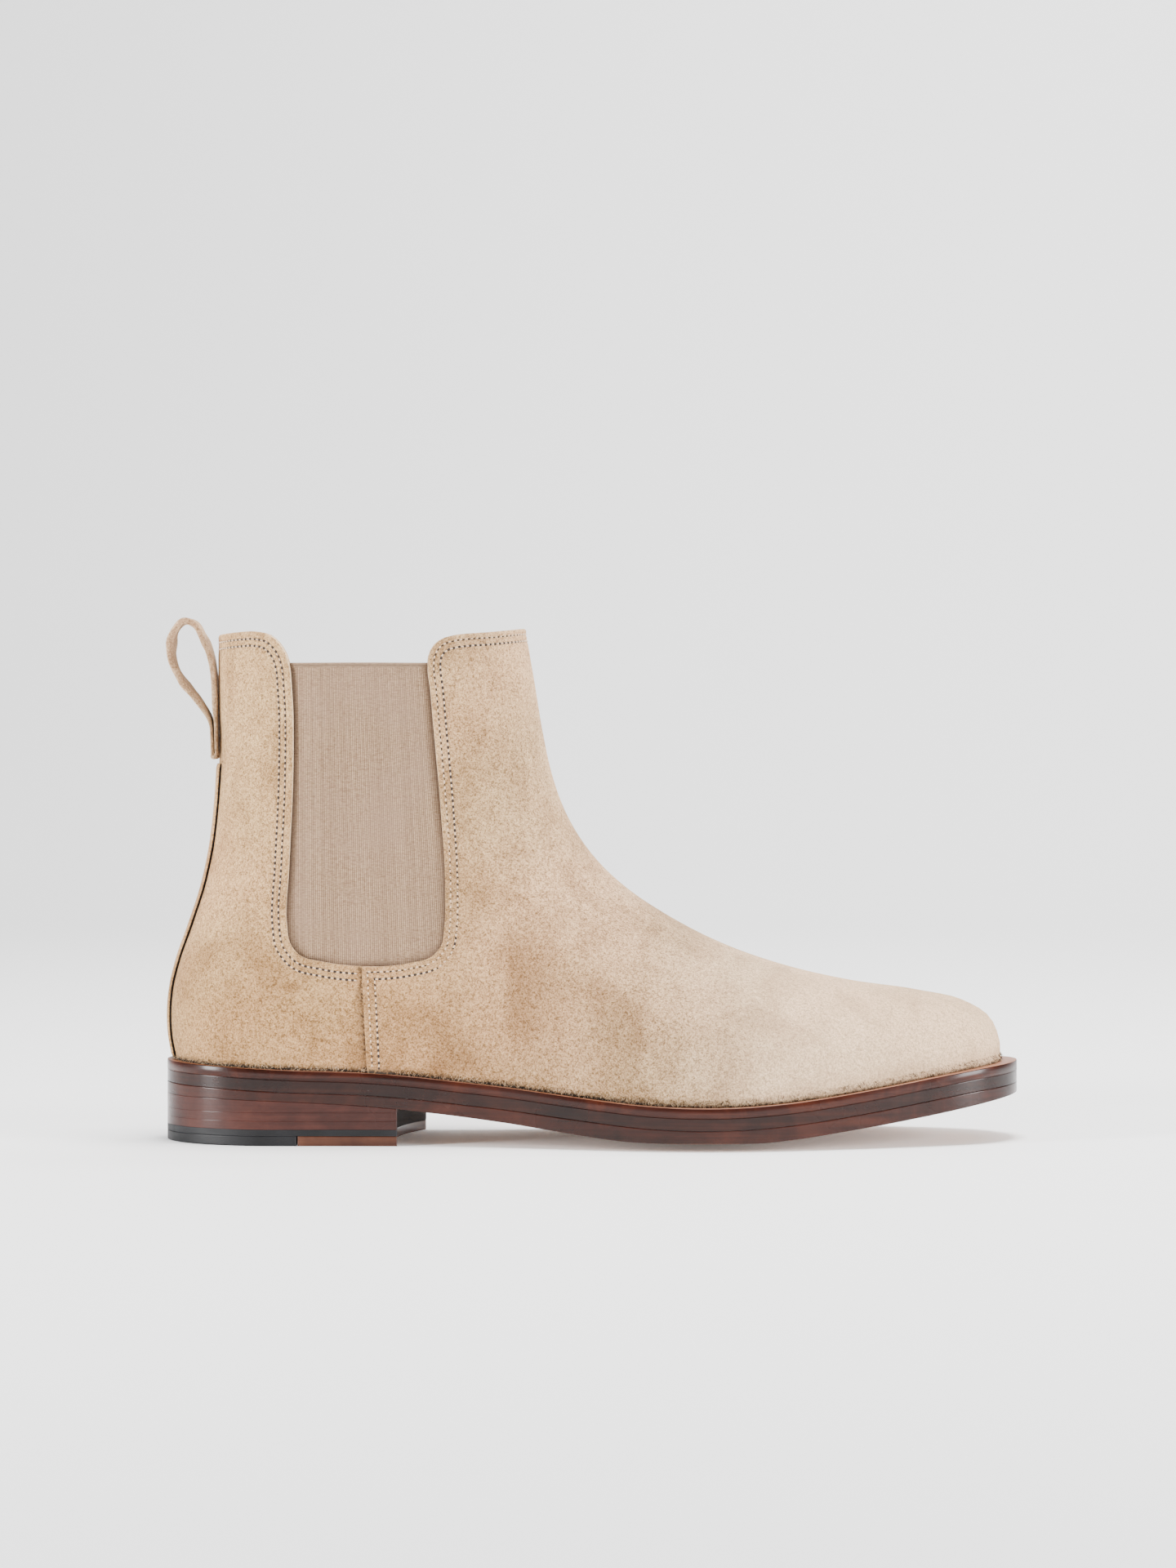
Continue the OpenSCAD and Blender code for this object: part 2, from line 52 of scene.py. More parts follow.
# ---------------------------------------------------------------- profiles of the last, in mm
FRONT = [
    [146.8, 27.6], [146.4, 35.5], [143, 43.2], [134, 49], [118, 52.8], [92, 56.7], [70, 61.8],
    [48, 69.4], [27, 80], [9.6, 92], [-2, 104.3], [-9, 115.8], [-14, 129], [-17.8, 146],
    [-20.6, 163], [-24.2, 183.8],
]
BACK = [
    [-149.3, 28.6], [-150.9, 37], [-151.3, 46], [-150.4, 55], [-148.2, 64], [-144, 76],
    [-139.4, 90], [-136, 106], [-134.2, 122], [-133.3, 140], [-133.7, 160], [-133.7, 182],
]
FEATHER = [
    [-154, 28.9], [-130, 27.8], [-104, 26.6], [-80, 25.8], [-64, 24.6], [-47, 22.9], [-30, 21.2],
    [-7, 18.5], [20, 15.8], [38, 15.2], [55, 15.6], [72, 17], [101, 21], [125, 24.9],
    [140, 27], [154, 28.3],
]
TREAD = [
    [-154, 16.8], [-104, 15.4], [-80, 14], [-64, 12.5], [-47, 10.7], [-30, 8.6], [-7, 5.1],
    [16, 1.6], [32, 0.1], [42, 0], [54, 0.6], [70, 3], [86, 5.6], [104, 8.4], [122, 11.4],
    [140, 14.6], [154, 16.9],
]
CENTRE = [
    [-154, 3.2], [-120, 3.2], [-90, 3.2], [-60, 1.7], [-30, -0.8], [0, -2.9], [25, -2.4],
    [45, -0.6], [65, 1.6], [90, 4.2], [115, 6.2], [154, 7.2],
]
WIDTH = [
    [-154, 31.5], [-120, 32], [-90, 31.8], [-60, 31.3], [-30, 33.5], [0, 39.5], [25, 45.5],
    [45, 48], [65, 47], [90, 42.5], [115, 36.2], [154, 27.5],
]
EDGE = [
    [-150, 3.2], [-138, 1.8], [-100, 1.6], [-60, 1.7], [0, 2.6], [60, 3.2], [110, 3.8], [147, 6],
]
FRONT_ROUND = [
    [-60, 55], [-25, 55], [0, 58], [20, 56], [40, 50], [60, 42], [80, 36], [100, 32], [154, 30],
]
BACK_ROUND = [[20, 35], [60, 38], [110, 44], [185, 52]]
WINDOW = [
    [-142, 179.4], [-133.8, 180.25], [-126, 181], [-118.6, 181.1], [-114.2, 180],
    [-110.9, 177.4], [-108.1, 173.2], [-106.8, 169], [-106, 161], [-105.6, 130],
    [-106.9, 98], [-107.4, 77.5], [-106.3, 71.5], [-103, 67.3], [-95, 65], [-81, 63.4],
    [-64.3, 64.5], [-56.2, 67], [-53.2, 70.5], [-52, 77], [-51.7, 88], [-53.2, 119],
    [-55.4, 145], [-56.8, 161], [-57.6, 168.5], [-57.2, 172.7], [-55.3, 176.4],
    [-52.4, 178.6], [-48.5, 179.8], [-43, 180.5], [-36.5, 181], [-30.4, 181.7], [-17, 183.6],
]
WINDOW_LOW = 15
MEDIAL_REACH = 5.5
REACH_FADE = (18, 20)
SEAM_FOOT = [-79.1, 20]
LOOP = [
    [-136.64, 137.2], [-136.95, 144], [-137.7, 150.5], [-141.8, 157.8], [-146.4, 163.2],
    [-149.8, 169.3], [-150.9, 176], [-149.6, 182], [-146.1, 185.3], [-142.5, 184.3],
    [-139.6, 180], [-137.2, 174.5], [-135.7, 167.5], [-135.08, 160], [-134.88, 150],
    [-134.62, 137.2],
]
SHAFT_Y = 3.2
DRUM_R = 420.0
SUEDE_T = 1.3
LINING_D = 2.7
WELT_T = 3.6
MIDSOLE_T = 4.3
TOP_PIECE_T = 5.8
INSERT_T = 3.5
INSERT_REAR = -104.0
LIFT_T = 3.0
BREAST_R = 90.0
BREAST_CENTRE = (19.3, -8.6)
STRAP_W = 14.0


def smooth(points, n):
    """A smooth curve through points, n pieces to a span."""
    p = np.array(points, float)
    h = np.linalg.norm(np.diff(p, axis=0), axis=1)
    slope = np.diff(p, axis=0) / h[:, None]
    t = np.empty_like(p)
    t[0], t[-1] = slope[0], slope[-1]
    t[1:-1] = (slope[:-1] * h[1:, None] + slope[1:] * h[:-1, None]) / (h[:-1] + h[1:])[:, None]
    u = (np.arange(n) / n)[:, None]
    spans = [
        (2 * u**3 - 3 * u**2 + 1) * p[i] + (u**3 - 2 * u**2 + u) * h[i] * t[i]
        + (3 * u**2 - 2 * u**3) * p[i + 1] + (u**3 - u**2) * h[i] * t[i + 1]
        for i in range(len(p) - 1)
    ]
    return np.vstack([*spans, p[-1:]])


def table(points, n=12):
    c = smooth(points, n)
    order = np.argsort(c[:, 0], kind="stable")
    return c[order]


front_curve, back_curve = smooth(FRONT, 16), smooth(BACK, 16)
front_x = front_curve[np.argsort(front_curve[:, 0], kind="stable")]
feather_c, tread_c, centre_c = table(FEATHER), table(TREAD), table(CENTRE)
width_c, edge_c, fround_c, bround_c = table(WIDTH), table(EDGE), table(FRONT_ROUND), table(BACK_ROUND)


def look(x, c):
    return np.interp(x, c[:, 0], c[:, 1])


def by_length(c):
    s = np.concatenate([[0], np.cumsum(np.linalg.norm(np.diff(c, axis=0), axis=1))])
    return s / s[-1]


front_s, back_s = by_length(front_curve), by_length(back_curve)


def ease(t):
    t = np.clip(t, 0, 1)
    return t * t * (3 - 2 * t)


def mix(a, b, t):
    return a + (b - a) * t


def feather(x):
    return look(x, feather_c)


# ---------------------------------------------------------------- the upper's surface
def width_squared(x, z):
    past = FRONT[-1][0] - x
    high = np.where(past > 0, FRONT[-1][1] + 5.7 * past + 0.3 * past**2, look(x, front_x))
    dx = np.interp(z, front_curve[:, 1], front_curve[:, 0]) - x
    dz = high - z
    inside = np.minimum(dx, dz) > 0
    dx, dz = np.where(inside, dx, 1.0), np.where(inside, dz, 1.0)
    d_front = np.where(inside, 1 / np.sqrt(1 / dx**2 + 1 / dz**2), 0.0)
    d_back = x - np.interp(z, back_curve[:, 1], back_curve[:, 0])
    share = ease((z - 42) / 60)
    tuck = np.maximum(0, 1 - (z - feather(x)) / 9)
    half = mix(look(x, width_c), mix(31.5, 34, ease((z - 100) / 80)), share) - 1.8 * tuck**2
    s = np.clip(d_front / look(x, fround_c), 0, 1)
    r = np.clip(d_back / look(z, bround_c), 0, 1)
    return half**2 * (2 * s - s * s) * (2 * r - r * r)


def middle_y(x, z):
    return mix(look(x, centre_c), SHAFT_Y, ease((z - 42) / 60))


def sag(share, v):
    """The feather line dips below the straight line from heel to toe; so do the rings above it."""
    foot = mix(BACK[0][0], FRONT[0][0], share)
    return (1 - v) ** 2 * (feather(foot) - mix(feather(BACK[0][0]), feather(FRONT[0][0]), share))


def profiles(v):
    """The places on the back and the front profile at this share of their lengths."""
    back = [np.interp(v, back_s, back_curve[:, i]) for i in (0, 1)]
    front = [np.interp(v, front_s, front_curve[:, i]) for i in (0, 1)]
    return back, front


def ring_place(a, v):
    """The place in the side view of (a, v): a runs 0 heel, 1 toe, 2 heel; v from feather to topline."""
    share = (1 - np.cos(np.pi * a)) / 2
    back, front = profiles(v)
    return mix(back[0], front[0], share), mix(back[1], front[1], share) + sag(share, v)


def side_of(a):
    return np.where((a >= 0) & (a <= 1), -1.0, 1.0)


def surface_xz(x, z, s):
    """Points and outward normals of the upper's outer face, s -1 on the outer side of the foot."""
    h = 0.25
    w = np.sqrt(width_squared(x, z))
    mid = middle_y(x, z)
    gx = (width_squared(x + h, z) - width_squared(x - h, z)) / (4 * h)
    gz = (width_squared(x, z + h) - width_squared(x, z - h)) / (4 * h)
    cx = (middle_y(x + h, z) - middle_y(x - h, z)) / (2 * h)
    cz = (middle_y(x, z + h) - middle_y(x, z - h)) / (2 * h)
    n = np.stack([-gx - s * cx * w, s * w, -gz - s * cz * w], -1)
    n /= np.linalg.norm(n, axis=-1, keepdims=True) + 1e-12
    return np.stack([x, mid + s * w, z], -1), n


def surface(a, v):
    x, z = ring_place(a, v)
    return surface_xz(x, z, side_of(a))


def at_depth(uv, depth):
    p, n = surface(uv[:, 0], uv[:, 1])
    return p - np.asarray(depth)[..., None] * n


def unplace(x, z, medial):
    """(a, v) of places in the side view, by halving the range of v."""
    low, high = np.zeros(len(x)), np.ones(len(x))
    for _ in range(40):
        v = (low + high) / 2
        back, front = profiles(v)
        share = np.clip((x - back[0]) / (front[0] - back[0]), 0, 1)
        under = mix(back[1], front[1], share) + sag(share, v) < z
        low, high = np.where(under, v, low), np.where(under, high, v)
    a = np.arccos(1 - 2 * share) / np.pi
    return np.stack([2 - a if medial else a, v], -1)


def metric_step(uv, direction3):
    """The (a, v) step whose 3-D step is closest to direction3."""
    h = 1e-3
    hv = np.where(uv[:, 1] > 0.5, -h, h)
    p, _ = surface(uv[:, 0], uv[:, 1])
    pa, _ = surface(uv[:, 0] + h, uv[:, 1])
    pv, _ = surface(uv[:, 0], uv[:, 1] + hv)
    ja, jv = (pa - p) / h, (pv - p) / hv[:, None]
    aa, av, vv = (ja * ja).sum(-1), (ja * jv).sum(-1), (jv * jv).sum(-1)
    ra, rv = (ja * direction3).sum(-1), (jv * direction3).sum(-1)
    det = aa * vv - av * av + 1e-6
    return np.stack([(vv * ra - av * rv) / det, (aa * rv - av * ra) / det], -1)


# ---------------------------------------------------------------- meshes
def make(name, verts, faces, material, smooth_shade=True, attributes=None, mats=None, face_mats=None):
    mesh = bpy.data.meshes.new(name)
    mesh.from_pydata((np.asarray(verts, float) * MM).tolist(), [], [list(map(int, f)) for f in faces])
    mesh.validate()
    mesh.update()
    for key, values in (attributes or {}).items():
        layer = mesh.attributes.new(key, "FLOAT", "POINT")
        layer.data.foreach_set("value", np.asarray(values, np.float32))
    obj = bpy.data.objects.new(name, mesh)
    bpy.context.scene.collection.objects.link(obj)
    for m in mats or [material]:
        mesh.materials.append(m)
    if face_mats is not None:
        mesh.polygons.foreach_set("material_index", np.asarray(face_mats, np.int32))
    mesh.polygons.foreach_set("use_smooth", [smooth_shade] * len(mesh.polygons))
    return obj


def resample(points3, uv, step):
    """The same closed line with points about step apart in space."""
    q = np.vstack([points3, points3[:1]])
    s = np.concatenate([[0], np.cumsum(np.linalg.norm(np.diff(q, axis=0), axis=1))])
    n = max(8, int(round(s[-1] / step)))
    t = np.arange(n) / n * s[-1]
    w = np.vstack([uv, uv[:1]])
    return np.stack([np.interp(t, s, w[:, 0]), np.interp(t, s, w[:, 1])], -1)


def nearest(points, targets, chunk=2000):
    """Distance from each point to the nearest target, and which one it is."""
    best, which = np.empty(len(points)), np.empty(len(points), int)
    for i in range(0, len(points), chunk):
        d = ((points[i : i + chunk, None] - targets[None]) ** 2).sum(-1)
        which[i : i + chunk] = d.argmin(1)
        best[i : i + chunk] = np.sqrt(d.min(1))
    return best, which


def inset(uv, distance, closed=True):
    """The line moved into the panel, to the left of its direction seen from outside."""
    p, n = surface(uv[:, 0], uv[:, 1])
    if closed:
        t = np.roll(p, -1, 0) - np.roll(p, 1, 0)
    else:
        t = np.gradient(p, axis=0)
    t /= np.linalg.norm(t, axis=1, keepdims=True) + 1e-9
    d = np.cross(n, t)
    d /= np.linalg.norm(d, axis=1, keepdims=True) + 1e-9
    steps = max(1, int(math.ceil(distance / 0.8)))
    for _ in range(steps):
        uv = uv + metric_step(uv, d * (distance / steps))
    return uv


def inside_polygon(pts, poly):
    x, y = pts[:, 0], pts[:, 1]
    hit = np.zeros(len(pts), bool)
    j = len(poly) - 1
    for i in range(len(poly)):
        xi, yi, xj, yj = *poly[i], *poly[j]
        cross = (yi > y) != (yj > y)
        if cross.any():
            hit ^= cross & (x < (xj - xi) * (y - yi) / (yj - yi + 1e-30) + xi)
        j = i
    return hit


UV_SCALE = np.array([200.0, 200.0])
EDGE_ROWS = (0.22, 0.55, 1.0, 1.5, 1.9, 2.3, 2.7, 3.2, 3.8, 4.4, 4.8, 5.2, 5.7, 6.1, 6.5, 7.1)


def triangulate(line, interior):
    """Triangles inside a closed 2-D line with these interior points."""
    pts = np.vstack([line, interior])
    n = len(line)
    edges = [(i, (i + 1) % n) for i in range(n)]
    out, _, faces, *_ = delaunay_2d_cdt([Vector(p) for p in pts.tolist()], edges, [], 0, 1e-7)
    out = np.array([[p[0], p[1]] for p in out])
    tri = np.array([f[:3] for f in faces])
    mid = out[tri].mean(1)
    tri = tri[inside_polygon(mid, line)]
    e1, e2 = out[tri[:, 1]] - out[tri[:, 0]], out[tri[:, 2]] - out[tri[:, 0]]
    area = e1[:, 0] * e2[:, 1] - e1[:, 1] * e2[:, 0]
    tri[area < 0] = tri[area < 0][:, ::-1]
    return out, tri


def close_shell(outer, inner, tri):
    """Outer and inner skins with the same triangles, joined round the rim."""
    n = len(outer)
    directed = {}
    for a, b, c in tri.tolist():
        for e in ((a, b), (b, c), (c, a)):
            directed[e] = True
    rim = [e for e in directed if (e[1], e[0]) not in directed]
    faces = [list(t) for t in tri.tolist()] + [[c + n, b + n, a + n] for a, b, c in tri.tolist()]
    skin = len(faces)
    faces += [[b, a, a + n, b + n] for a, b in rim]
    return np.vstack([outer, inner]), faces, skin


def panel(name, line_uv, spacing, depth, thick, material, edge_material, round_r=0.5, grooves=(),
          rows=EDGE_ROWS, edge_step=1.3, cushion=0.0):
    """A sewn panel of the upper: its rim rounded over, its face pressed in along the stitch rows."""
    p3, _ = surface(line_uv[:, 0], line_uv[:, 1])
    line = resample(p3, line_uv, edge_step)
    fine = resample(p3, line_uv, 0.35)
    rim3, _ = surface(fine[:, 0], fine[:, 1])
    points = []
    for r in rows:
        q = inset(line, r)
        q3, _ = surface(q[:, 0], q[:, 1])
        far = nearest(q3, rim3)[0] > 0.9 * r
        points.append(q[far & inside_polygon(q * UV_SCALE, line * UV_SCALE)])
    lo, hi = line.min(0), line.max(0)
    v_values = np.arange(lo[1], hi[1], spacing / 190)
    grid = []
    for k, v in enumerate(v_values):
        a = np.linspace(lo[0], hi[0], 400)
        q3, _ = surface(a, np.full_like(a, v))
        s = np.concatenate([[0], np.cumsum(np.linalg.norm(np.diff(q3, axis=0), axis=1))])
        t = np.arange(spacing * (0.25 + 0.5 * (k % 2)), s[-1], spacing)
        grid.append(np.stack([np.interp(t, s, a), np.full(len(t), v)], -1))
    grid = np.vstack(grid)
    grid = grid[inside_polygon(grid * UV_SCALE, line * UV_SCALE)]
    g3, _ = surface(grid[:, 0], grid[:, 1])
    grid = grid[nearest(g3, rim3)[0] > rows[-1] + 0.5 * spacing]
    out, tri = triangulate(line * UV_SCALE, np.vstack([*points, grid]) * UV_SCALE)
    uv = out / UV_SCALE
    skin3, _ = surface(uv[:, 0], uv[:, 1])
    e = nearest(skin3, rim3)[0]
    d = np.zeros(len(uv)) + (depth(uv, e, skin3) if callable(depth) else depth)
    u = 1 - np.clip(e / round_r, 0, 1)
    # the strip outside the first stitch row stands up like a cushion
    d_out = d + round_r * (1 - np.sqrt(np.clip(1 - u * u, 0, 1))) - cushion * np.exp(-(((e - 1.2) / 0.7) ** 2))
    for rows3, groove in grooves:
        near = nearest(skin3, rows3)[0]
        d_out += groove * np.exp(-((near / 0.7) ** 2))
    verts, faces, skin = close_shell(at_depth(uv, d_out), at_depth(uv, d + thick), tri)
    mats = [0] * skin + [1] * (len(faces) - skin)
    obj = make(name, verts, faces, material, mats=[material, edge_material], face_mats=mats)
    return obj


def grid_faces(rows, cols, closed_cols=False):
    """Quads of a grid of points listed row by row."""
    last = cols if closed_cols else cols - 1
    return [
        [i * cols + j, i * cols + (j + 1) % cols, (i + 1) * cols + (j + 1) % cols, (i + 1) * cols + j]
        for i in range(rows - 1) for j in range(last)
    ]


def sheet_solid(name, outer, inner, material):
    """A closed sheet from two grids (rows, cols, 3) whose rows climb and columns run to the right."""
    r, c = outer.shape[:2]
    faces = grid_faces(r, c)
    n = r * c
    rim = (
        [(0, j) for j in range(c)] + [(i, c - 1) for i in range(1, r)]
        + [(r - 1, j) for j in range(c - 2, -1, -1)] + [(i, 0) for i in range(r - 2, 0, -1)]
    )
    ids = [i * c + j for i, j in rim]
    back = [[f[3] + n, f[2] + n, f[1] + n, f[0] + n] for f in faces]
    wall = [[ids[(k + 1) % len(ids)], ids[k], ids[k] + n, ids[(k + 1) % len(ids)] + n] for k in range(len(ids))]
    return make(name, np.vstack([outer.reshape(-1, 3), inner.reshape(-1, 3)]), faces + back + wall, material)


# ---------------------------------------------------------------- outlines of the panels
def clip_profile(x, z, medial, end):
    """(a, v) along a line of the side view up to where it crosses the heel (0) or toe (1) profile."""
    uv = unplace(x, z, medial)
    edge = end if not medial else 2 - end
    past = np.flatnonzero(np.abs(uv[:, 0] - edge) < 1e-6)[0]
    b, f = profiles(uv[past - 1 : past + 1, 1])
    px = (b, f)[end][0]
    t = (px[0] - x[past - 1]) / (x[past] - x[past - 1] + 1e-9)
    v = mix(uv[past - 1, 1], uv[past, 1], np.clip(t, 0, 1))
    return np.vstack([uv[:past], [[edge, v]]])


window = smooth(WINDOW, 14)
low = WINDOW_LOW * 14
seam_z = np.linspace(feather(SEAM_FOOT[0]), WINDOW[WINDOW_LOW][1], 24)
seam_x = mix(SEAM_FOOT[0], WINDOW[WINDOW_LOW][0], (seam_z - 24) / (WINDOW[WINDOW_LOW][1] - 24))


def lines(medial):
    back = window[low::-1].copy()
    if medial:
        before = ease((WINDOW[WINDOW_LOW][0] - back[:, 0]) / REACH_FADE[0])
        after = ease((back[:, 0] - WINDOW[1][0]) / REACH_FADE[1])
        back[:, 0] -= MEDIAL_REACH * before * after
    rear = clip_profile(*back.T, medial, 0)
    fore = clip_profile(*window[low:].T, medial, 1)
    seam = unplace(seam_x, seam_z, medial)
    seam[0, 1] = 0
    return rear, fore, seam


def run(a0, a1, v, n=80):
    return np.stack([np.linspace(a0, a1, n), np.full(n, v)], -1)


UNDERLAP = 6.0
rear_l, fore_l, seam_l = lines(False)
rear_m, fore_m, seam_m = lines(True)


def quarter_line(rear, seam, medial):
    """Outline, counter-clockwise seen from outside, with the strip that goes under the vamp."""
    under = unplace(seam_x + UNDERLAP, np.minimum(seam_z, WINDOW[WINDOW_LOW][1] - 1.2), medial)
    under[0, 1] = 0
    heel = np.stack([np.full(60, rear[-1, 0]), np.linspace(rear[-1, 1], 0, 60)], -1)[1:]
    outline = np.vstack([run(rear[-1, 0], under[0, 0], 0), under[1:], rear, heel[:-1]])
    return np.vstack([outline[:1], outline[:0:-1]]) if medial else outline


quarter_uv = {"lateral": quarter_line(rear_l, seam_l, False), "medial": quarter_line(rear_m, seam_m, True)}
vamp_uv = np.vstack([
    run(seam_l[0, 0], seam_m[0, 0], 0, 200), seam_m[1:], fore_m[1:],
    fore_l[::-1][1:], seam_l[::-1][1:-1],
])


# ---------------------------------------------------------------- materials
def rgb(r, g, b):
    """Linear colour of an 8-bit screen colour."""
    def f(c):
        c /= 255
        return c / 12.92 if c <= 0.04045 else ((c + 0.055) / 1.055) ** 2.4
    return (f(r), f(g), f(b), 1)


class Nodes:
    def __init__(self, name):
        self.mat = bpy.data.materials.new(name)
        self.mat.use_nodes = True
        self.tree = self.mat.node_tree
        self.bsdf = self.tree.nodes["Principled BSDF"]
        self.coord = self.new("ShaderNodeTexCoord").outputs["Object"]

    def new(self, kind, **props):
        n = self.tree.nodes.new(kind)
        for k, v in props.items():
            setattr(n, k, v)
        return n

    def put(self, socket, value):
        if hasattr(value, "is_linked"):
            self.tree.links.new(value, socket)
        else:
            socket.default_value = value

    def stretch(self, x, y, z, turn=(0, 0, 0)):
        n = self.new("ShaderNodeMapping")
        self.put(n.inputs["Vector"], self.coord)
        n.inputs["Scale"].default_value = (x, y, z)
        n.inputs["Rotation"].default_value = turn
        return n.outputs[0]

    def noise(self, scale, detail=3.0, rough=0.5, distortion=0.0, vector=None):
        n = self.new("ShaderNodeTexNoise")
        self.put(n.inputs["Vector"], vector or self.coord)
        n.inputs["Scale"].default_value = scale
        n.inputs["Detail"].default_value = detail
        n.inputs["Roughness"].default_value = rough
        n.inputs["Distortion"].default_value = distortion
        return n.outputs["Fac"]

    def ramp(self, fac, *stops):
        n = self.new("ShaderNodeValToRGB")
        self.put(n.inputs[0], fac)
        e = n.color_ramp.elements
        while len(e) < len(stops):
            e.new(0.5)
        for k, (at, colour) in zip(e, stops):
            k.position = at
            k.color = colour
        return n.outputs[0]

    def span(self, value, a, b, c=0.0, d=1.0):
        n = self.new("ShaderNodeMapRange", interpolation_type="SMOOTHSTEP")
        self.put(n.inputs[0], value)
        for i, x in enumerate((a, b, c, d)):
            n.inputs[i + 1].default_value = x
        return n.outputs[0]

    def blend(self, fac, a, b, mode="MIX"):
        n = self.new("ShaderNodeMix", data_type="RGBA", blend_type=mode)
        self.put(n.inputs[0], fac)
        self.put(n.inputs[6], a)
        self.put(n.inputs[7], b)
        return n.outputs[2]

    def math(self, op, a, b=0.0):
        n = self.new("ShaderNodeMath", operation=op)
        self.put(n.inputs[0], a)
        self.put(n.inputs[1], b)
        return n.outputs[0]

    def axis(self, which):
        n = self.new("ShaderNodeSeparateXYZ")
        self.put(n.inputs[0], self.coord)
        return n.outputs[which]

    def attribute(self, name):
        return self.new("ShaderNodeAttribute", attribute_name=name).outputs["Fac"]

    def bump(self, height, strength, distance, under=None):
        n = self.new("ShaderNodeBump")
        self.put(n.inputs["Height"], height)
        n.inputs["Strength"].default_value = strength
        n.inputs["Distance"].default_value = distance
        if under is not None:
            self.put(n.inputs["Normal"], under)
        return n.outputs[0]

    def finish(self, colour, rough, normal=None, **sockets):
        self.put(self.bsdf.inputs["Base Color"], colour)
        self.put(self.bsdf.inputs["Roughness"], rough)
        if normal is not None:
            self.put(self.bsdf.inputs["Normal"], normal)
        for k, v in sockets.items():
            self.put(self.bsdf.inputs[k.replace("_", " ")], v)
        return self.mat


def suede(name, dark, mid, light, painted_shade_and_tone=True, sheen=0.22):
    m = Nodes(name)
    grain = m.noise(1900, 2, 0.6, 0.5)
    clumps = m.noise(960, 2, 0.6, 0.7)
    strokes = m.noise(1.0, 3, 0.6, 0.6, m.stretch(60, 60, 34, (0, 0.5, 0)))
    wide = m.noise(16, 2, 0.5, 0.1)
    clouds = m.noise(30, 3, 0.55, 0.6)
    speck = m.math("ADD", m.math("MULTIPLY", grain, 0.6), m.math("MULTIPLY", clumps, 0.4))
    base = m.ramp(speck, (0.38, dark), (0.50, mid), (0.62, light))
    # brushed patches: where the nap lies the other way it looks darker
    brushed = m.ramp(strokes, (0.36, rgb(204, 196, 188)), (0.54, rgb(255, 255, 255)))
    base = m.blend(0.6, base, brushed, "MULTIPLY")
    warm = m.ramp(wide, (0.38, rgb(255, 240, 228)), (0.62, rgb(246, 244, 232)))
    base = m.blend(0.6, base, warm, "MULTIPLY")
    base = m.blend(m.span(clouds, 0.44, 0.66, 0.0, 0.75), base, rgb(222, 216, 210), "MULTIPLY")
    if painted_shade_and_tone:
        # painted shade: the lower flanks behind the forepart are darkened a tone, where they face away from the top
        # light; towards the toe the colour is mixed a little lighter and warmer
        flank = m.math("MULTIPLY", m.span(m.axis(2), 0.045, 0.085, 1.0, 0.0), m.span(m.axis(0), 0.0, 0.075, 1.0, 0.0))
        base = m.blend(flank, base, rgb(231, 226, 219), "MULTIPLY")
        base = m.blend(m.span(m.axis(0), 0.02, 0.09, 0.0, 0.3), base, rgb(240, 206, 172))
        # heel quarter a tone darker and yellower than the forepart
        heel = m.span(m.axis(0), -0.10, 0.06, 1.0, 0.0)
        base = m.blend(heel, base, rgb(246, 232, 208), "MULTIPLY")
        # painted shade: the low attribute darkens a line along the welt, the side seams and the backstay, broken up by
        # noise
        edge = m.math("MULTIPLY", m.attribute("low"), m.span(m.noise(700, 2), 0.3, 0.6, 0.7, 1.3))
        base = m.blend(m.span(edge, 0.1, 0.9), base, rgb(52, 44, 38))
    fine = m.bump(m.noise(1700, 3, 0.65), 0.8, 0.0005)
    normal = m.bump(m.noise(600, 3, 0.65, 0.6), 0.5, 0.0008, fine)
    return m.finish(base, 0.95, normal, Specular_IOR_Level=0.1, Sheen_Weight=sheen, Sheen_Roughness=0.4,
                    Sheen_Tint=rgb(250, 222, 194))


def plain_leather(name, base, deep, rough=0.55, grain=900):
    m = Nodes(name)
    colour = m.blend(m.noise(60, 4, 0.6, 0.5), deep, base)
    colour = m.blend(m.span(m.noise(grain, 2), 0.35, 0.65, 0, 0.35), colour, deep)
    normal = m.bump(m.noise(grain, 4, 0.6), 0.35, 0.0002)
    return m.finish(colour, rough, normal)


def burnished(name, dark, mid, light, rough=0.3, coat=0.3):
    """Leather edge: compressed layers as fine streaks along the boot, waxed and polished."""
    m = Nodes(name)
    layers = m.noise(1.0, 4, 0.6, 0.3, m.stretch(14, 14, 600))
    blotch = m.noise(34, 4, 0.6, 0.8)
    streak = m.noise(1.0, 4, 0.6, 0.2, m.stretch(60, 60, 420))
    fac = m.math("ADD", m.math("MULTIPLY", layers, 0.35), m.math("MULTIPLY", blotch, 0.65))
    base = m.ramp(fac, (0.35, dark), (0.5, mid), (0.66, light))
    base = m.blend(m.span(streak, 0.5, 0.75, 0, 0.3), base, dark)
    height = m.math("ADD", m.math("MULTIPLY", layers, 0.15), m.noise(1500, 3))
    normal = m.bump(height, 0.15, 0.0002)
    shine = m.span(m.noise(45, 3), 0.3, 0.7, rough - 0.06, rough + 0.12)
    return m.finish(base, shine, normal, Coat_Weight=coat, Coat_Roughness=0.18, Specular_IOR_Level=0.1)


SUEDE_DARK, SUEDE_MID, SUEDE_LIGHT = rgb(136, 112, 86), rgb(197, 168, 136), rgb(228, 203, 172)
mat_suede = suede("suede", SUEDE_DARK, SUEDE_MID, SUEDE_LIGHT)
mat_cut = suede("suede_cut_edge", rgb(196, 164, 130), rgb(226, 198, 166), rgb(240, 216, 186), False)
# near-black suede for the backstay's side walls and half of the nap hairs
mat_strap_edge = suede("suede_dark_edge", rgb(26, 23, 21), rgb(36, 32, 29), rgb(50, 45, 41), False, 0.0)


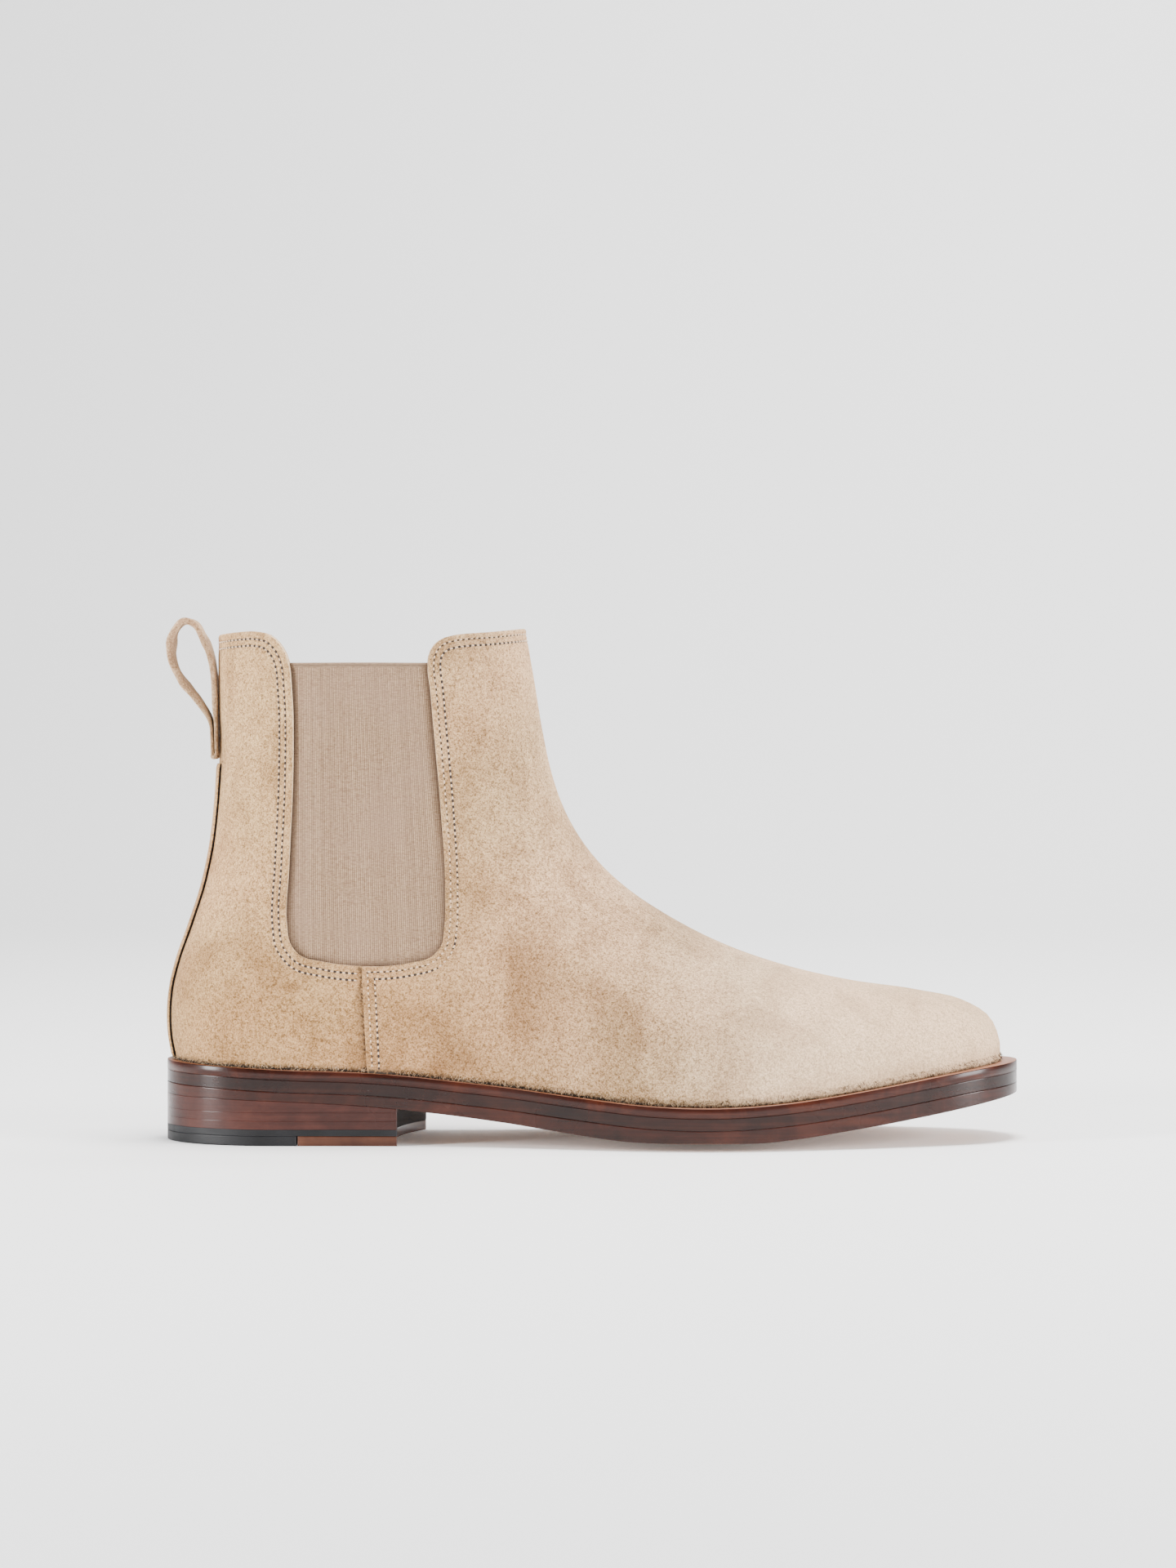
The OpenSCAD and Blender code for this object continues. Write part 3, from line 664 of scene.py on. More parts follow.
def elastic_material():
    m = Nodes("elastic")
    weft = m.noise(1.0, 3, 0.5, 0.1, m.stretch(900, 900, 2600))
    warp = m.attribute("rib")
    base = m.ramp(warp, (0.0, rgb(104, 80, 60)), (0.5, rgb(160, 132, 102)), (1.0, rgb(202, 172, 138)))
    fleck = m.ramp(weft, (0.35, rgb(190, 176, 164)), (0.6, rgb(255, 255, 255)))
    base = m.blend(0.8, base, fleck, "MULTIPLY")
    base = m.blend(m.span(m.noise(40, 3), 0.35, 0.7, 0, 0.25), base, rgb(150, 122, 104))
    base = m.blend(m.attribute("shade"), base, rgb(66, 50, 38))
    weave = m.new("ShaderNodeTexWave", wave_type="BANDS", bands_direction="Z")
    m.put(weave.inputs["Vector"], m.coord)
    weave.inputs["Scale"].default_value = 500.0
    weave.inputs["Distortion"].default_value = 1.5
    weave.inputs["Detail"].default_value = 2.0
    base = m.blend(m.math("MULTIPLY", weave.outputs["Fac"], 0.3), base, rgb(134, 108, 90))
    normal = m.bump(m.math("ADD", weft, weave.outputs["Fac"]), 0.5, 0.0002)
    return m.finish(base, 0.8, normal, Sheen_Weight=0.15, Specular_IOR_Level=0.25)


mat_elastic = elastic_material()
mat_lining = plain_leather("lining_leather", rgb(206, 170, 128), rgb(176, 136, 94))
mat_board = plain_leather("leather_board", rgb(168, 130, 92), rgb(128, 94, 62), 0.8)
mat_thread = plain_leather("thread", rgb(226, 198, 166), rgb(192, 162, 132), 0.6, 2400)
# painted shade: each needle hole is a dark lens on the surface, standing for the hollow of the hole
mat_hole_shade = plain_leather("needle_hole", rgb(62, 50, 42), rgb(38, 30, 25), 0.9)
mat_welt = burnished("welt_leather", rgb(24, 7, 3), rgb(44, 15, 7), rgb(72, 31, 16))
# painted highlight: the welt's flat top is a paler leather than its edge
mat_welt_highlight = plain_leather("welt_top_highlight", rgb(150, 96, 62), rgb(104, 58, 34), 0.5)
mat_midsole = burnished("midsole_leather", rgb(16, 5, 3), rgb(30, 11, 6), rgb(48, 20, 11), 0.26)
mat_outsole = burnished("outsole_leather", rgb(23, 8, 4), rgb(41, 15, 8), rgb(62, 27, 16), 0.28)
mat_lift = burnished("lift_leather", rgb(35, 13, 9), rgb(50, 21, 15), rgb(68, 33, 25), 0.3)
mat_insert = burnished("insert_leather", rgb(52, 26, 16), rgb(74, 42, 28), rgb(98, 60, 42), 0.4)
# painted shade: the heel breast under the arch is a dark, rough leather
mat_breast_shade = plain_leather("breast_shade_leather", rgb(40, 24, 18), rgb(24, 13, 9), 0.85)
mat_tread = plain_leather("tread_leather", rgb(176, 128, 84), rgb(140, 96, 60), 0.5)


def rubber_material():
    m = Nodes("rubber")
    base = m.blend(m.noise(90, 4), rgb(18, 18, 19), rgb(34, 34, 36))
    normal = m.bump(m.noise(2200, 3), 0.25, 0.0002)
    return m.finish(base, m.span(m.noise(120, 3), 0.3, 0.7, 0.38, 0.55), normal, Specular_IOR_Level=0.2)


def metal(name, colour, rough):
    m = Nodes(name)
    base = m.blend(m.noise(300, 3), colour, tuple(0.8 * c for c in colour[:3]) + (1,))
    return m.finish(base, rough, m.bump(m.noise(900, 2), 0.1, 0.0001), Metallic=1.0)


mat_rubber = rubber_material()
mat_steel = metal("steel", rgb(176, 178, 180), 0.35)
mat_brass = metal("brass", rgb(196, 160, 90), 0.3)
mat_cork = plain_leather("cork", rgb(172, 130, 88), rgb(112, 78, 48), 0.9, 500)


# ---------------------------------------------------------------- upper
def stitch_lines():
    """The paths the stitch rows follow, each named by its piece."""
    rows = []
    for side, rear, fore, seam in (("lateral", rear_l, fore_l, seam_l), ("medial", rear_m, fore_m, seam_m)):
        sign = 1 if side == "lateral" else -1
        rows.append((f"quarter_{side}", rear[::sign]))
        rows.append(("vamp", np.vstack([seam, fore[1:]])[::-sign]))
    return rows


def even(uv, step):
    p, _ = surface(uv[:, 0], uv[:, 1])
    s = np.concatenate([[0], np.cumsum(np.linalg.norm(np.diff(p, axis=0), axis=1))])
    t = np.arange(0, s[-1], step)
    return np.stack([np.interp(t, s, uv[:, 0]), np.interp(t, s, uv[:, 1])], -1)


def offset_row(edge_uv, distance, own_rim):
    """A row at this distance inside an edge, without the parts that fall short at corners."""
    line = even(edge_uv, 0.5)
    row = inset(line, distance, closed=False)
    p, _ = surface(row[:, 0], row[:, 1])
    keep = nearest(p, own_rim)[0] > 0.9 * distance
    return row[keep]


def edge_points(uv, step=0.4):
    line = even(uv, step)
    return surface(line[:, 0], line[:, 1])[0]


STITCH_ROWS = {"quarter": (2.7, 5.1), "vamp": (1.9, 4.4)}
GROOVE = 0.3
rows_by_piece = {"quarter_lateral": [], "quarter_medial": [], "vamp": []}
for piece, edge in stitch_lines():
    for d in STITCH_ROWS[piece.split("_")[0]]:
        rows_by_piece[piece].append(offset_row(edge, d, edge_points(edge)))


def lift_over_seam(uv, e, p):
    """The vamp's edge lies on top of the quarter along the side seam."""
    seam3 = np.vstack([surface(s[:, 0], s[:, 1])[0] for s in (seam_l, seam_m)])
    d = nearest(p, seam3)[0]
    return -1.15 * (1 - ease((d - 5.5) / 6.5))


def sink_under_vamp(seam):
    seam3 = surface(seam[:, 0], seam[:, 1])[0]

    def depth(uv, e, p):
        ahead = p[:, 0] > np.interp(p[:, 2], seam3[:, 2], seam3[:, 0]) - 1.5
        return np.where(ahead & (p[:, 2] < WINDOW[WINDOW_LOW][1] + 1), 0.35, 0.0)

    return depth


def row_points(rows):
    return np.vstack([surface(r[:, 0], r[:, 1])[0] for r in rows])


def crevice_shade_mark(obj, reach=1.5, crevice=None):
    """Marks how near the welt, or the edge of the panel above, a point is, for a line of painted shade in the crevice
    there.
    """
    n = len(obj.data.vertices)
    co = np.empty(n * 3)
    obj.data.vertices.foreach_get("co", co)
    co = co.reshape(-1, 3) / MM
    layer = obj.data.attributes.new("low", "FLOAT", "POINT")
    mark = 0.85 * np.exp(-np.maximum(co[:, 2] - feather(co[:, 0]) - 0.3, 0) / reach)
    mark *= mix(1.0, 0.55, ease((co[:, 0] + 20) / 130))
    if crevice is not None:
        mark = np.maximum(mark, 0.8 * np.exp(-((nearest(co, crevice)[0] / 0.85) ** 2)))
        # painted shade along both edges of the backstay
        beside = np.abs(co[:, 1] - SHAFT_Y) - STRAP_W / 2 - 0.3
        mark = np.maximum(mark, np.where(co[:, 0] < -100, 0.6 * np.exp(-((beside / 0.6) ** 2)), 0))
    layer.data.foreach_set("value", np.clip(mark, 0, 1))
    return obj


SPACING = 2.6
EDGE_STEP = 1.3
uppers = {}
uppers["vamp"] = panel(
    "vamp", vamp_uv, SPACING, lift_over_seam, SUEDE_T, mat_suede, mat_cut,
    grooves=[(row_points(rows_by_piece["vamp"]), GROOVE)], edge_step=EDGE_STEP, cushion=0.28,
)
for side, seam in (("lateral", seam_l), ("medial", seam_m)):
    name = f"quarter_{side}"
    uppers[name] = panel(
        name, quarter_uv[side], SPACING, sink_under_vamp(seam), SUEDE_T, mat_suede, mat_cut,
        grooves=[(row_points(rows_by_piece[name]), GROOVE)], edge_step=EDGE_STEP, cushion=0.28,
    )
# painted shade in the crevices along the welt and the side seams
crevice_shade_mark(uppers["vamp"])
crevice_shade_mark(uppers["quarter_lateral"], crevice=edge_points(seam_l) - [0.45, 0, 0])
crevice_shade_mark(uppers["quarter_medial"], crevice=edge_points(seam_m) - [0.45, 0, 0])


def capsules(p, t, n, length, radius, sink, sides=6, sections=6):
    """Short threads lying along t at points p, their ends diving under the surface."""
    b = np.cross(t, n)
    b /= np.linalg.norm(b, axis=1, keepdims=True) + 1e-9
    u = np.linspace(0, 1, sections)
    along = (u - 0.5)[None] * length[:, None]
    rise = np.sin(np.pi * u) ** 0.7 * (sink + radius * 0.9) - sink
    r = radius * (0.55 + 0.45 * np.sin(np.pi * u))
    centre = p[:, None] + along[..., None] * t[:, None] + rise[None, :, None] * n[:, None]
    ang = np.arange(sides) / sides * 2 * math.pi
    ring = np.cos(ang)[:, None] * n[:, None, :] + np.sin(ang)[:, None] * b[:, None, :]
    verts = centre[:, :, None, :] + r[None, :, None, None] * ring[:, None, :, :]
    m = len(p)
    per = sections * sides
    base = [[j + i * sides, (j + 1) % sides + i * sides, (j + 1) % sides + (i + 1) * sides, j + (i + 1) * sides]
            for i in range(sections - 1) for j in range(sides)]
    base += [list(range(sides))[::-1], [per - sides + j for j in range(sides)]]
    faces = [[q + k * per for q in f] for k in range(m) for f in base]
    return verts.reshape(-1, 3), faces


def dots(p, t, n, r_along, r_across, thick):
    """Flat lenses lying in the surface at points p."""
    b = np.cross(t, n)
    b /= np.linalg.norm(b, axis=1, keepdims=True) + 1e-9
    ang = np.arange(8) / 8 * 2 * math.pi
    ring = np.cos(ang)[:, None] * t[:, None] * r_along + np.sin(ang)[:, None] * b[:, None] * r_across
    verts = np.concatenate([
        p[:, None] + n[:, None] * thick, p[:, None] + ring * 0.7 + n[:, None] * thick * 0.8,
        p[:, None] + ring, p[:, None] - n[:, None] * thick,
    ], 1)
    f = [[0, 1 + j, 1 + (j + 1) % 8] for j in range(8)]
    f += [[1 + j, 9 + j, 9 + (j + 1) % 8, 1 + (j + 1) % 8] for j in range(8)]
    f += [[17, 9 + (j + 1) % 8, 9 + j] for j in range(8)]
    faces = [[q + k * 18 for q in g] for k in range(len(p)) for g in f]
    return verts.reshape(-1, 3), faces


PITCH = 2.1


def sew(name, rows, depth):
    """Threads and needle holes along rows of (a, v) points."""
    thread_v, thread_f, hole_v, hole_f, nt, nh = [], [], [], [], 0, 0
    for uv in rows:
        p, n = surface(uv[:, 0], uv[:, 1])
        step = np.linalg.norm(np.diff(p, axis=0), axis=1)
        breaks = np.flatnonzero(step > 3.0) + 1
        for part in np.split(np.arange(len(uv)), breaks):
            if len(part) < 8:
                continue
            q, m = p[part], n[part]
            s = np.concatenate([[0], np.cumsum(np.linalg.norm(np.diff(q, axis=0), axis=1))])
            at = np.arange(PITCH, s[-1] - PITCH / 2, PITCH)
            at = at + rng.normal(0, 0.05, len(at))

            def pick(where):
                c = np.stack([np.interp(where, s, q[:, i]) for i in range(3)], -1)
                nn = np.stack([np.interp(where, s, m[:, i]) for i in range(3)], -1)
                ahead = np.stack([np.interp(where + 0.3, s, q[:, i]) for i in range(3)], -1)
                tt = ahead - c
                tt /= np.linalg.norm(tt, axis=1, keepdims=True) + 1e-9
                nn /= np.linalg.norm(nn, axis=1, keepdims=True) + 1e-9
                d = depth(None, None, c) if callable(depth) else depth
                return c - nn * (np.zeros(len(c)) + d + GROOVE)[:, None], tt, nn

            c, tt, nn = pick(at)
            lean = np.cross(tt, nn)
            lean_t = tt + lean * rng.normal(0.1, 0.05, len(at))[:, None]
            lean_t /= np.linalg.norm(lean_t, axis=1, keepdims=True)
            v, f = capsules(c, lean_t, nn, np.full(len(at), 1.3) + rng.normal(0, 0.06, len(at)), 0.32, 0.3)
            thread_v.append(v)
            thread_f += [[i + nt for i in g] for g in f]
            nt += len(v)
            c, tt, nn = pick(at + PITCH / 2)
            # dark lenses between the threads: painted shade for the needle holes
            v, f = dots(c + nn * 0.1, tt, nn, 0.6, 0.5, 0.1)
            hole_v.append(v)
            hole_f += [[i + nh for i in g] for g in f]
            nh += len(v)
    tv, hv = np.vstack(thread_v), np.vstack(hole_v)
    faces = thread_f + [[i + len(tv) for i in g] for g in hole_f]
    mats = [0] * len(thread_f) + [1] * len(hole_f)
    return make(name, np.vstack([tv, hv]), faces, mat_thread, mats=[mat_thread, mat_hole_shade], face_mats=mats)


sewn = {}
for name, rows in rows_by_piece.items():
    sewn[name] = sew(f"stitches_{name}", rows, lift_over_seam if name == "vamp" else 0.0)


# ---------------------------------------------------------------- elastic gussets
GUSSET_TOP = 170.1
RIBS = 94


def gusset(name, s):
    cols, rows = RIBS * 4 + 1, 52
    z = np.linspace(59.0, GUSSET_TOP, rows)
    z[-6:] = GUSSET_TOP - np.array([2.6, 2.0, 1.5, 0.9, 0.3, 0.0])
    left = -111.6 - (MEDIAL_REACH if s > 0 else 0) + 0 * z
    right = mix(-44.6, -51.2, (z - 59) / (GUSSET_TOP - 59))
    f = np.arange(cols) / (cols - 1)
    if s > 0:
        f = f[::-1]
    x = mix(left[:, None], right[:, None], f[None])
    zz = np.repeat(z[:, None], cols, 1)
    p, n = surface_xz(x.ravel(), zz.ravel(), np.full(x.size, float(s)))
    rib = 0.5 + 0.5 * np.cos(np.arange(cols) / 4 * 2 * math.pi)
    tone = np.repeat(rng.uniform(0.62, 1.0, RIBS + 1), 4)[:cols]
    rib = rib[None] * tone[None] * np.ones((rows, 1))
    hem = (zz > GUSSET_TOP - 1.7).astype(float)
    body = 1.95 - 0.15 * rib * (1 - hem) - 0.3 * hem
    body += 0.22 * np.sin(zz / 9.0 + x / 7.0) * np.sin(x / 11.0)
    rim = np.zeros((rows, cols))
    rim[-1] = 0.3
    outer = (p - (body + rim).ravel()[:, None] * n).reshape(rows, cols, 3)
    inner = (p - 2.6 * n).reshape(rows, cols, 3)
    obj = sheet_solid(name, outer, inner, mat_elastic)
    rim3 = np.vstack([edge_points(line) for line in ((rear_m, fore_m) if s > 0 else (rear_l, fore_l))])
    near_rim = nearest(p, rim3)[0].reshape(rows, cols)
    shade = 0.55 * np.exp(-(((zz - (GUSSET_TOP - 1.0)) / 0.5) ** 2)) + 0.2 * hem
    shade = np.maximum(shade, 0.75 * np.exp(-((near_rim / 1.2) ** 2)))
    for key, val in (("rib", np.where(hem > 0, 0.6, rib)), ("shade", shade)):
        layer = obj.data.attributes.new(key, "FLOAT", "POINT")
        layer.data.foreach_set("value", np.concatenate([val.ravel(), np.full(rows * cols, 0.4)]).astype(np.float32))
    return obj


gussets = {"lateral": gusset("gusset_lateral", -1), "medial": gusset("gusset_medial", 1)}


# ---------------------------------------------------------------- lining
topline3 = np.vstack([edge_points(line) for line in (rear_l, fore_l, rear_m, fore_m)])
topline3 = topline3[topline3[:, 2] > GUSSET_TOP + 3]


def lining_depth(uv, e, p):
    """The lining comes out to meet the suede at the topline."""
    return mix(LINING_D, 1.33, 1 - ease((nearest(p, topline3)[0] - 2.0) / 9.0))


LINING_ROWS = (0.25, 0.8, 2.4)
linings = {"vamp_lining": panel("vamp_lining", vamp_uv, 5.0, lining_depth, 0.75, mat_lining, mat_lining,
                                rows=LINING_ROWS, edge_step=2.4, round_r=0.35)}
for side in ("lateral", "medial"):
    linings[f"quarter_lining_{side}"] = panel(
        f"quarter_lining_{side}", quarter_uv[side], 5.0, lining_depth, 0.75, mat_lining, mat_lining,
        rows=LINING_ROWS, edge_step=2.4, round_r=0.35,
    )


# ---------------------------------------------------------------- backstay and pull loop
def backstay():
    rows, cols = 70, 25
    z = np.linspace(29.3, 134.3, rows)
    u = np.linspace(-1, 1, cols)
    u = np.sign(u) * (1 - (1 - np.abs(u)) ** 1.5)
    hw = STRAP_W / 2 + 0.12 * np.sin(z / 5.0) + 0.1 * np.sin(z / 2.3)
    t = -u[None] * hw[:, None]
    zz = np.repeat(z[:, None], cols, 1)
    share = ease((zz - 42) / 60)
    xb = np.interp(zz, back_curve[:, 1], back_curve[:, 0])
    half = mix(look(xb, width_c), mix(31.5, 34, ease((zz - 100) / 80)), share)
    x = xb + look(zz, bround_c) * (1 - np.sqrt(1 - (t / half) ** 2))
    s = np.where(t <= 0, -1.0, 1.0)
    p, n = surface_xz(x.ravel(), zz.ravel(), s.ravel())
    p[:, 1] = (middle_y(x, zz) + t).ravel()
    lip = 0.5 * (1 - np.sqrt(np.clip(1 - np.clip((np.abs(u) - 0.9) / 0.1, 0, 1) ** 2, 0, 1)))
    out = -1.3 + lip[None] + 0 * zz
    out[0] += 0.35
    out[-1] += 0.35
    outer = (p - out.ravel()[:, None] * n).reshape(rows, cols, 3)
    inner = (p + 0.04 * n).reshape(rows, cols, 3)
    obj = sheet_solid("backstay", outer, inner, mat_suede)
    obj.data.materials.append(mat_strap_edge)
    first_wall = 2 * (rows - 1) * (cols - 1)
    for k in range(first_wall, len(obj.data.polygons)):
        obj.data.polygons[k].material_index = 1
    # painted shade along the welt
    return crevice_shade_mark(obj)


back_strap = backstay()


def pull_loop():
    c = smooth(LOOP, 14)
    n_st = len(c)
    t = np.gradient(c, axis=0)
    t /= np.linalg.norm(t, axis=1, keepdims=True)
    nrm = np.stack([-t[:, 1], t[:, 0]], -1)
    s = np.concatenate([[0], np.cumsum(np.linalg.norm(np.diff(c, axis=0), axis=1))])
    k = 28
    ang = np.arange(k) / k * 2 * math.pi
    px = np.sign(np.cos(ang)) * np.abs(np.cos(ang)) ** 0.22
    py = np.sign(np.sin(ang)) * np.abs(np.sin(ang)) ** 0.45
    half_w = STRAP_W / 2 + 0.28 * np.sin(s / 3.1) + 0.18 * np.sin(s / 1.4 + 1)
    # the two ends are pressed flat against the heel seam
    pressed = 1 - ease((c[:, 1] - 146) / 10)
    c = c + np.column_stack([mix(0.3, 1.0, s < 30) * pressed, 0 * s])
    half_t = mix(0.98, 0.6, pressed) + 0.05 * np.sin(s / 2.2)
    # the strap's two edges ripple on their own
    wave = np.sin(s[:, None] / 2.7 + np.sign(px)[None] * 1.3) + 0.5 * np.sin(s[:, None] / 1.3 + 2.0 * px[None])
    free = ease((s - 14) / 12) * ease((s[-1] - 32 - s) / 12)
    off = py[None] * half_t[:, None] * (1 + 0.25 * free[:, None]) + 0.38 * wave * np.abs(px)[None] ** 3 * free[:, None]
    verts = np.empty((n_st, k, 3))
    verts[..., 0] = c[:, None, 0] + off * nrm[:, None, 0]
    verts[..., 2] = c[:, None, 1] + off * nrm[:, None, 1]
    verts[..., 1] = SHAFT_Y + px[None] * half_w[:, None]
    faces = grid_faces(n_st, k, closed_cols=True)
    faces += [list(range(k))[::-1], [(n_st - 1) * k + j for j in range(k)]]
    mats = [1 if abs(px[f[0] % k]) > 0.99 and len(f) == 4 else 0 for f in faces]
    base = n_st * k
    ring_n, r = 18, 1.15
    ra = np.arange(ring_n) / ring_n * 2 * math.pi
    ys = SHAFT_Y + np.array([-7.0, -6.7, 6.7, 7.0])
    rs = np.array([0.8, 1.0, 1.0, 0.8]) * r
    roll = np.array([[-135.2 + rr * math.cos(a), y, 137.0 + rr * math.sin(a)] for y, rr in zip(ys, rs) for a in ra])
    rf = grid_faces(4, ring_n, closed_cols=True)
    rf += [list(range(ring_n))[::-1], [3 * ring_n + j for j in range(ring_n)]]
    faces += [[i + base for i in f] for f in rf]
    mats += [0] * len(rf)
    return make("pull_loop", np.vstack([verts.reshape(-1, 3), roll]), faces, mat_suede,
                mats=[mat_suede_loop, mat_loop_edge], face_mats=mats)


mat_suede_loop = suede("suede_loop", rgb(150, 122, 96), rgb(198, 170, 140), rgb(224, 200, 172), False)
mat_loop_edge = suede("loop_edge", rgb(140, 112, 86), rgb(176, 146, 116), rgb(206, 178, 148), False)
loop_strap = pull_loop()


# ---------------------------------------------------------------- sole
def edge_ring(a, out):
    """Plan points this far outside the foot's outline at the feather line."""
    p, n = surface(a, np.zeros_like(a))
    flat = n[:, :2] / np.linalg.norm(n[:, :2], axis=1, keepdims=True)
    return p[:, :2] + flat * np.asarray(out)[..., None] * np.ones(len(a))[:, None]


N_RING = 420
ring_a = np.arange(N_RING) / N_RING * 2
foot_xy = edge_ring(ring_a, 0.0)
sole_xy = edge_ring(ring_a, look(ring_place(ring_a, np.zeros(N_RING))[0], edge_c))


def plan_inset(xy, d):
    t = np.roll(xy, -1, 0) - np.roll(xy, 1, 0)
    t /= np.linalg.norm(t, axis=1, keepdims=True)
    return xy + d * np.stack([-t[:, 1], t[:, 0]], -1)


WALL_EDGE = 0.15


def slab(name, xy, top, bottom, material, bevel=0.35, spacing=9.0, face_materials=None, breast=()):
    """A sheet with this outline in plan, its edges rounded, between two heights; the walls on the
    breast points of the outline have their own material."""
    cap = plan_inset(xy, bevel)
    lo, hi = cap.min(0), cap.max(0)
    gx, gy = np.meshgrid(np.arange(lo[0], hi[0], spacing), np.arange(lo[1], hi[1], spacing), indexing="ij")
    grid = np.stack([gx.ravel(), gy.ravel()], -1) + 0.013
    grid = grid[inside_polygon(grid, cap)]
    grid = grid[nearest(grid, cap)[0] > spacing * 0.4]
    out, tri = triangulate(cap, grid)
    n_line = len(xy)
    fresh = nearest(cap, out)[1]
    ring_mid = plan_inset(xy, bevel * 0.3)

    def lift(q, f, dz):
        return np.column_stack([q, f(q[:, 0], q[:, 1]) + dz])

    top_cap, bottom_cap = lift(out, top, 0), lift(out, bottom, 0)
    # two rings close inside the rounded edges keep the wall between them straight
    levels = [(ring_mid, top, -bevel * 0.3), (xy, top, -bevel), (xy, top, -bevel - WALL_EDGE),
              (xy, bottom, bevel + WALL_EDGE), (xy, bottom, bevel), (ring_mid, bottom, bevel * 0.3)]
    rings = [lift(*one) for one in levels]
    verts = np.vstack([top_cap, bottom_cap, *rings])
    n_cap = len(out)
    starts = [2 * n_cap + i * n_line for i in range(len(rings))]
    idx = [fresh] + [np.arange(n_line) + st for st in starts] + [fresh + n_cap]
    faces = [list(t) for t in tri.tolist()] + [[c + n_cap, b + n_cap, a + n_cap] for a, b, c in tri.tolist()]
    n_cap_faces = len(faces)
    mats = [1] * (n_cap_faces // 2) + [2] * (n_cap_faces // 2)
    for up, down in zip(idx[:-1], idx[1:]):
        for j in range(n_line):
            k = (j + 1) % n_line
            faces.append([up[j], down[j], down[k], up[k]])
            mats.append(3 if j in breast else 0)
    used = face_materials or [material] * 3
    return make(name, verts, faces, material, mats=[*used, mat_breast_shade], face_mats=mats)


def level(z):
    return lambda x, y: np.full(np.shape(x), float(z))


def above_feather(dz):
    return lambda x, y: feather(x) + dz


def tread(x, y):
    """Underside of the outsole: rounded across, and turned up at the toe."""
    drum = DRUM_R - np.sqrt(DRUM_R**2 - y**2)
    t = look(x, tread_c)
    return np.sqrt(t**2 + drum**2)


def welt():
    """A ring of leather; its flat top round the upper catches the light and is also given a paler leather, as painted
    highlight.
    """
    inner = edge_ring(ring_a, -11.0)
    prof = [(0.0, -WELT_T), (0.0, -WELT_T * 0.5), (0.0, -0.5), (0.12, -0.15), (0.5, 0.0)]
    rings = [np.column_stack([q, feather(q[:, 0]) + dz]) for q, dz in
             [(plan_inset(sole_xy, d), dz) for d, dz in prof] + [(foot_xy, 0.0), (inner, 0.0), (inner, -WELT_T)]]
    m = len(rings)
    faces = []
    mats = []
    for i in range(m):
        k = (i + 1) % m
        for j in range(N_RING):
            q = (j + 1) % N_RING
            faces.append([i * N_RING + j, i * N_RING + q, k * N_RING + q, k * N_RING + j])
            mats.append(1 if i in (3, 4, 5) else 0)
    return make("welt", np.vstack(rings), faces, mat_welt, mats=[mat_welt, mat_welt_highlight], face_mats=mats)


sole = {"welt": welt()}
gap = 0.12
sole["midsole"] = slab("midsole", plan_inset(sole_xy, 0.04), above_feather(-WELT_T - 0.02),
                       above_feather(-WELT_T - MIDSOLE_T + gap / 2), mat_midsole, bevel=0.1)
sole["outsole"] = slab("outsole", sole_xy, above_feather(-WELT_T - MIDSOLE_T), tread, mat_outsole, bevel=0.2,
                       spacing=6.0, face_materials=[mat_outsole, mat_outsole, mat_tread])


def heel_outline(front=None):
    """The sole's outline behind the hollow breast, and the breast's arc; front is not used."""
    a = np.linspace(-0.5, 0.5, 700)
    xy = edge_ring(a, look(ring_place(a, np.zeros(700))[0], edge_c))
    c = np.array(BREAST_CENTRE)
    behind = (np.linalg.norm(xy - c, axis=1) > BREAST_R)
    xy = xy[behind]
    a0 = math.atan2(*(xy[-1] - c)[::-1])
    a1 = math.atan2(*(xy[0] - c)[::-1])
    a0, a1 = a0 % (2 * math.pi), a1 % (2 * math.pi)
    t = np.linspace(a0, a1, 60)[1:-1]
    arc = c + BREAST_R * np.stack([np.cos(t), np.sin(t)], -1)
    return xy, arc


heel_side, heel_arc = heel_outline()
every = 1
heel_xy = np.vstack([heel_side[::every], heel_arc])
breast = set(range(len(heel_side[::every]) - 1, len(heel_xy)))
lift_low, lift_high = TOP_PIECE_T + LIFT_T, TOP_PIECE_T + 2 * LIFT_T
sole["heel_lift_upper"] = slab("heel_lift_upper", heel_xy, lambda x, y: look(x, tread_c) + 0.02, level(lift_high),
                               mat_lift, bevel=0.03, breast=breast)
sole["heel_lift_middle"] = slab("heel_lift_middle", heel_xy, level(lift_high), level(lift_low), mat_lift, bevel=0.03,
                                breast=breast)
sole["heel_lift_lower"] = slab("heel_lift_lower", heel_xy, level(lift_low), level(TOP_PIECE_T), mat_lift, bevel=0.03,
                               breast=breast)


def split_outline(x_cut):
    """The heel outline cut in two along a line across it: the part behind and the part in front."""
    rear = heel_side[heel_side[:, 0] < x_cut]
    fore_m = heel_side[: np.argmax(heel_side[:, 0] < x_cut)]
    fore_l = heel_side[len(heel_side) - np.argmax(heel_side[::-1, 0] < x_cut) :]
    cut = np.linspace(0, 1, 14)[1:-1, None]
    rear_all = np.vstack([rear[::every], mix(rear[-1], rear[0], cut)])
    fore_all = np.vstack([fore_l[::every], heel_arc, fore_m[::every], mix(fore_m[-1], fore_l[0], cut)])
    return rear_all, fore_all


rear_xy, fore_xy = split_outline(INSERT_REAR)


def top_piece():
    """One rubber piece: full height behind, a thinner layer above the leather insert in front."""
    under = slab("top_piece_rear", rear_xy, level(INSERT_T + 0.05), level(0), mat_rubber, bevel=0.3)
    over = slab("top_piece", heel_xy, level(TOP_PIECE_T), level(INSERT_T), mat_rubber, bevel=0.1, breast=breast)
    with bpy.context.temp_override(active_object=over, selected_editable_objects=[over, under], selected_objects=[over, under]):
        bpy.ops.object.join()
    return over


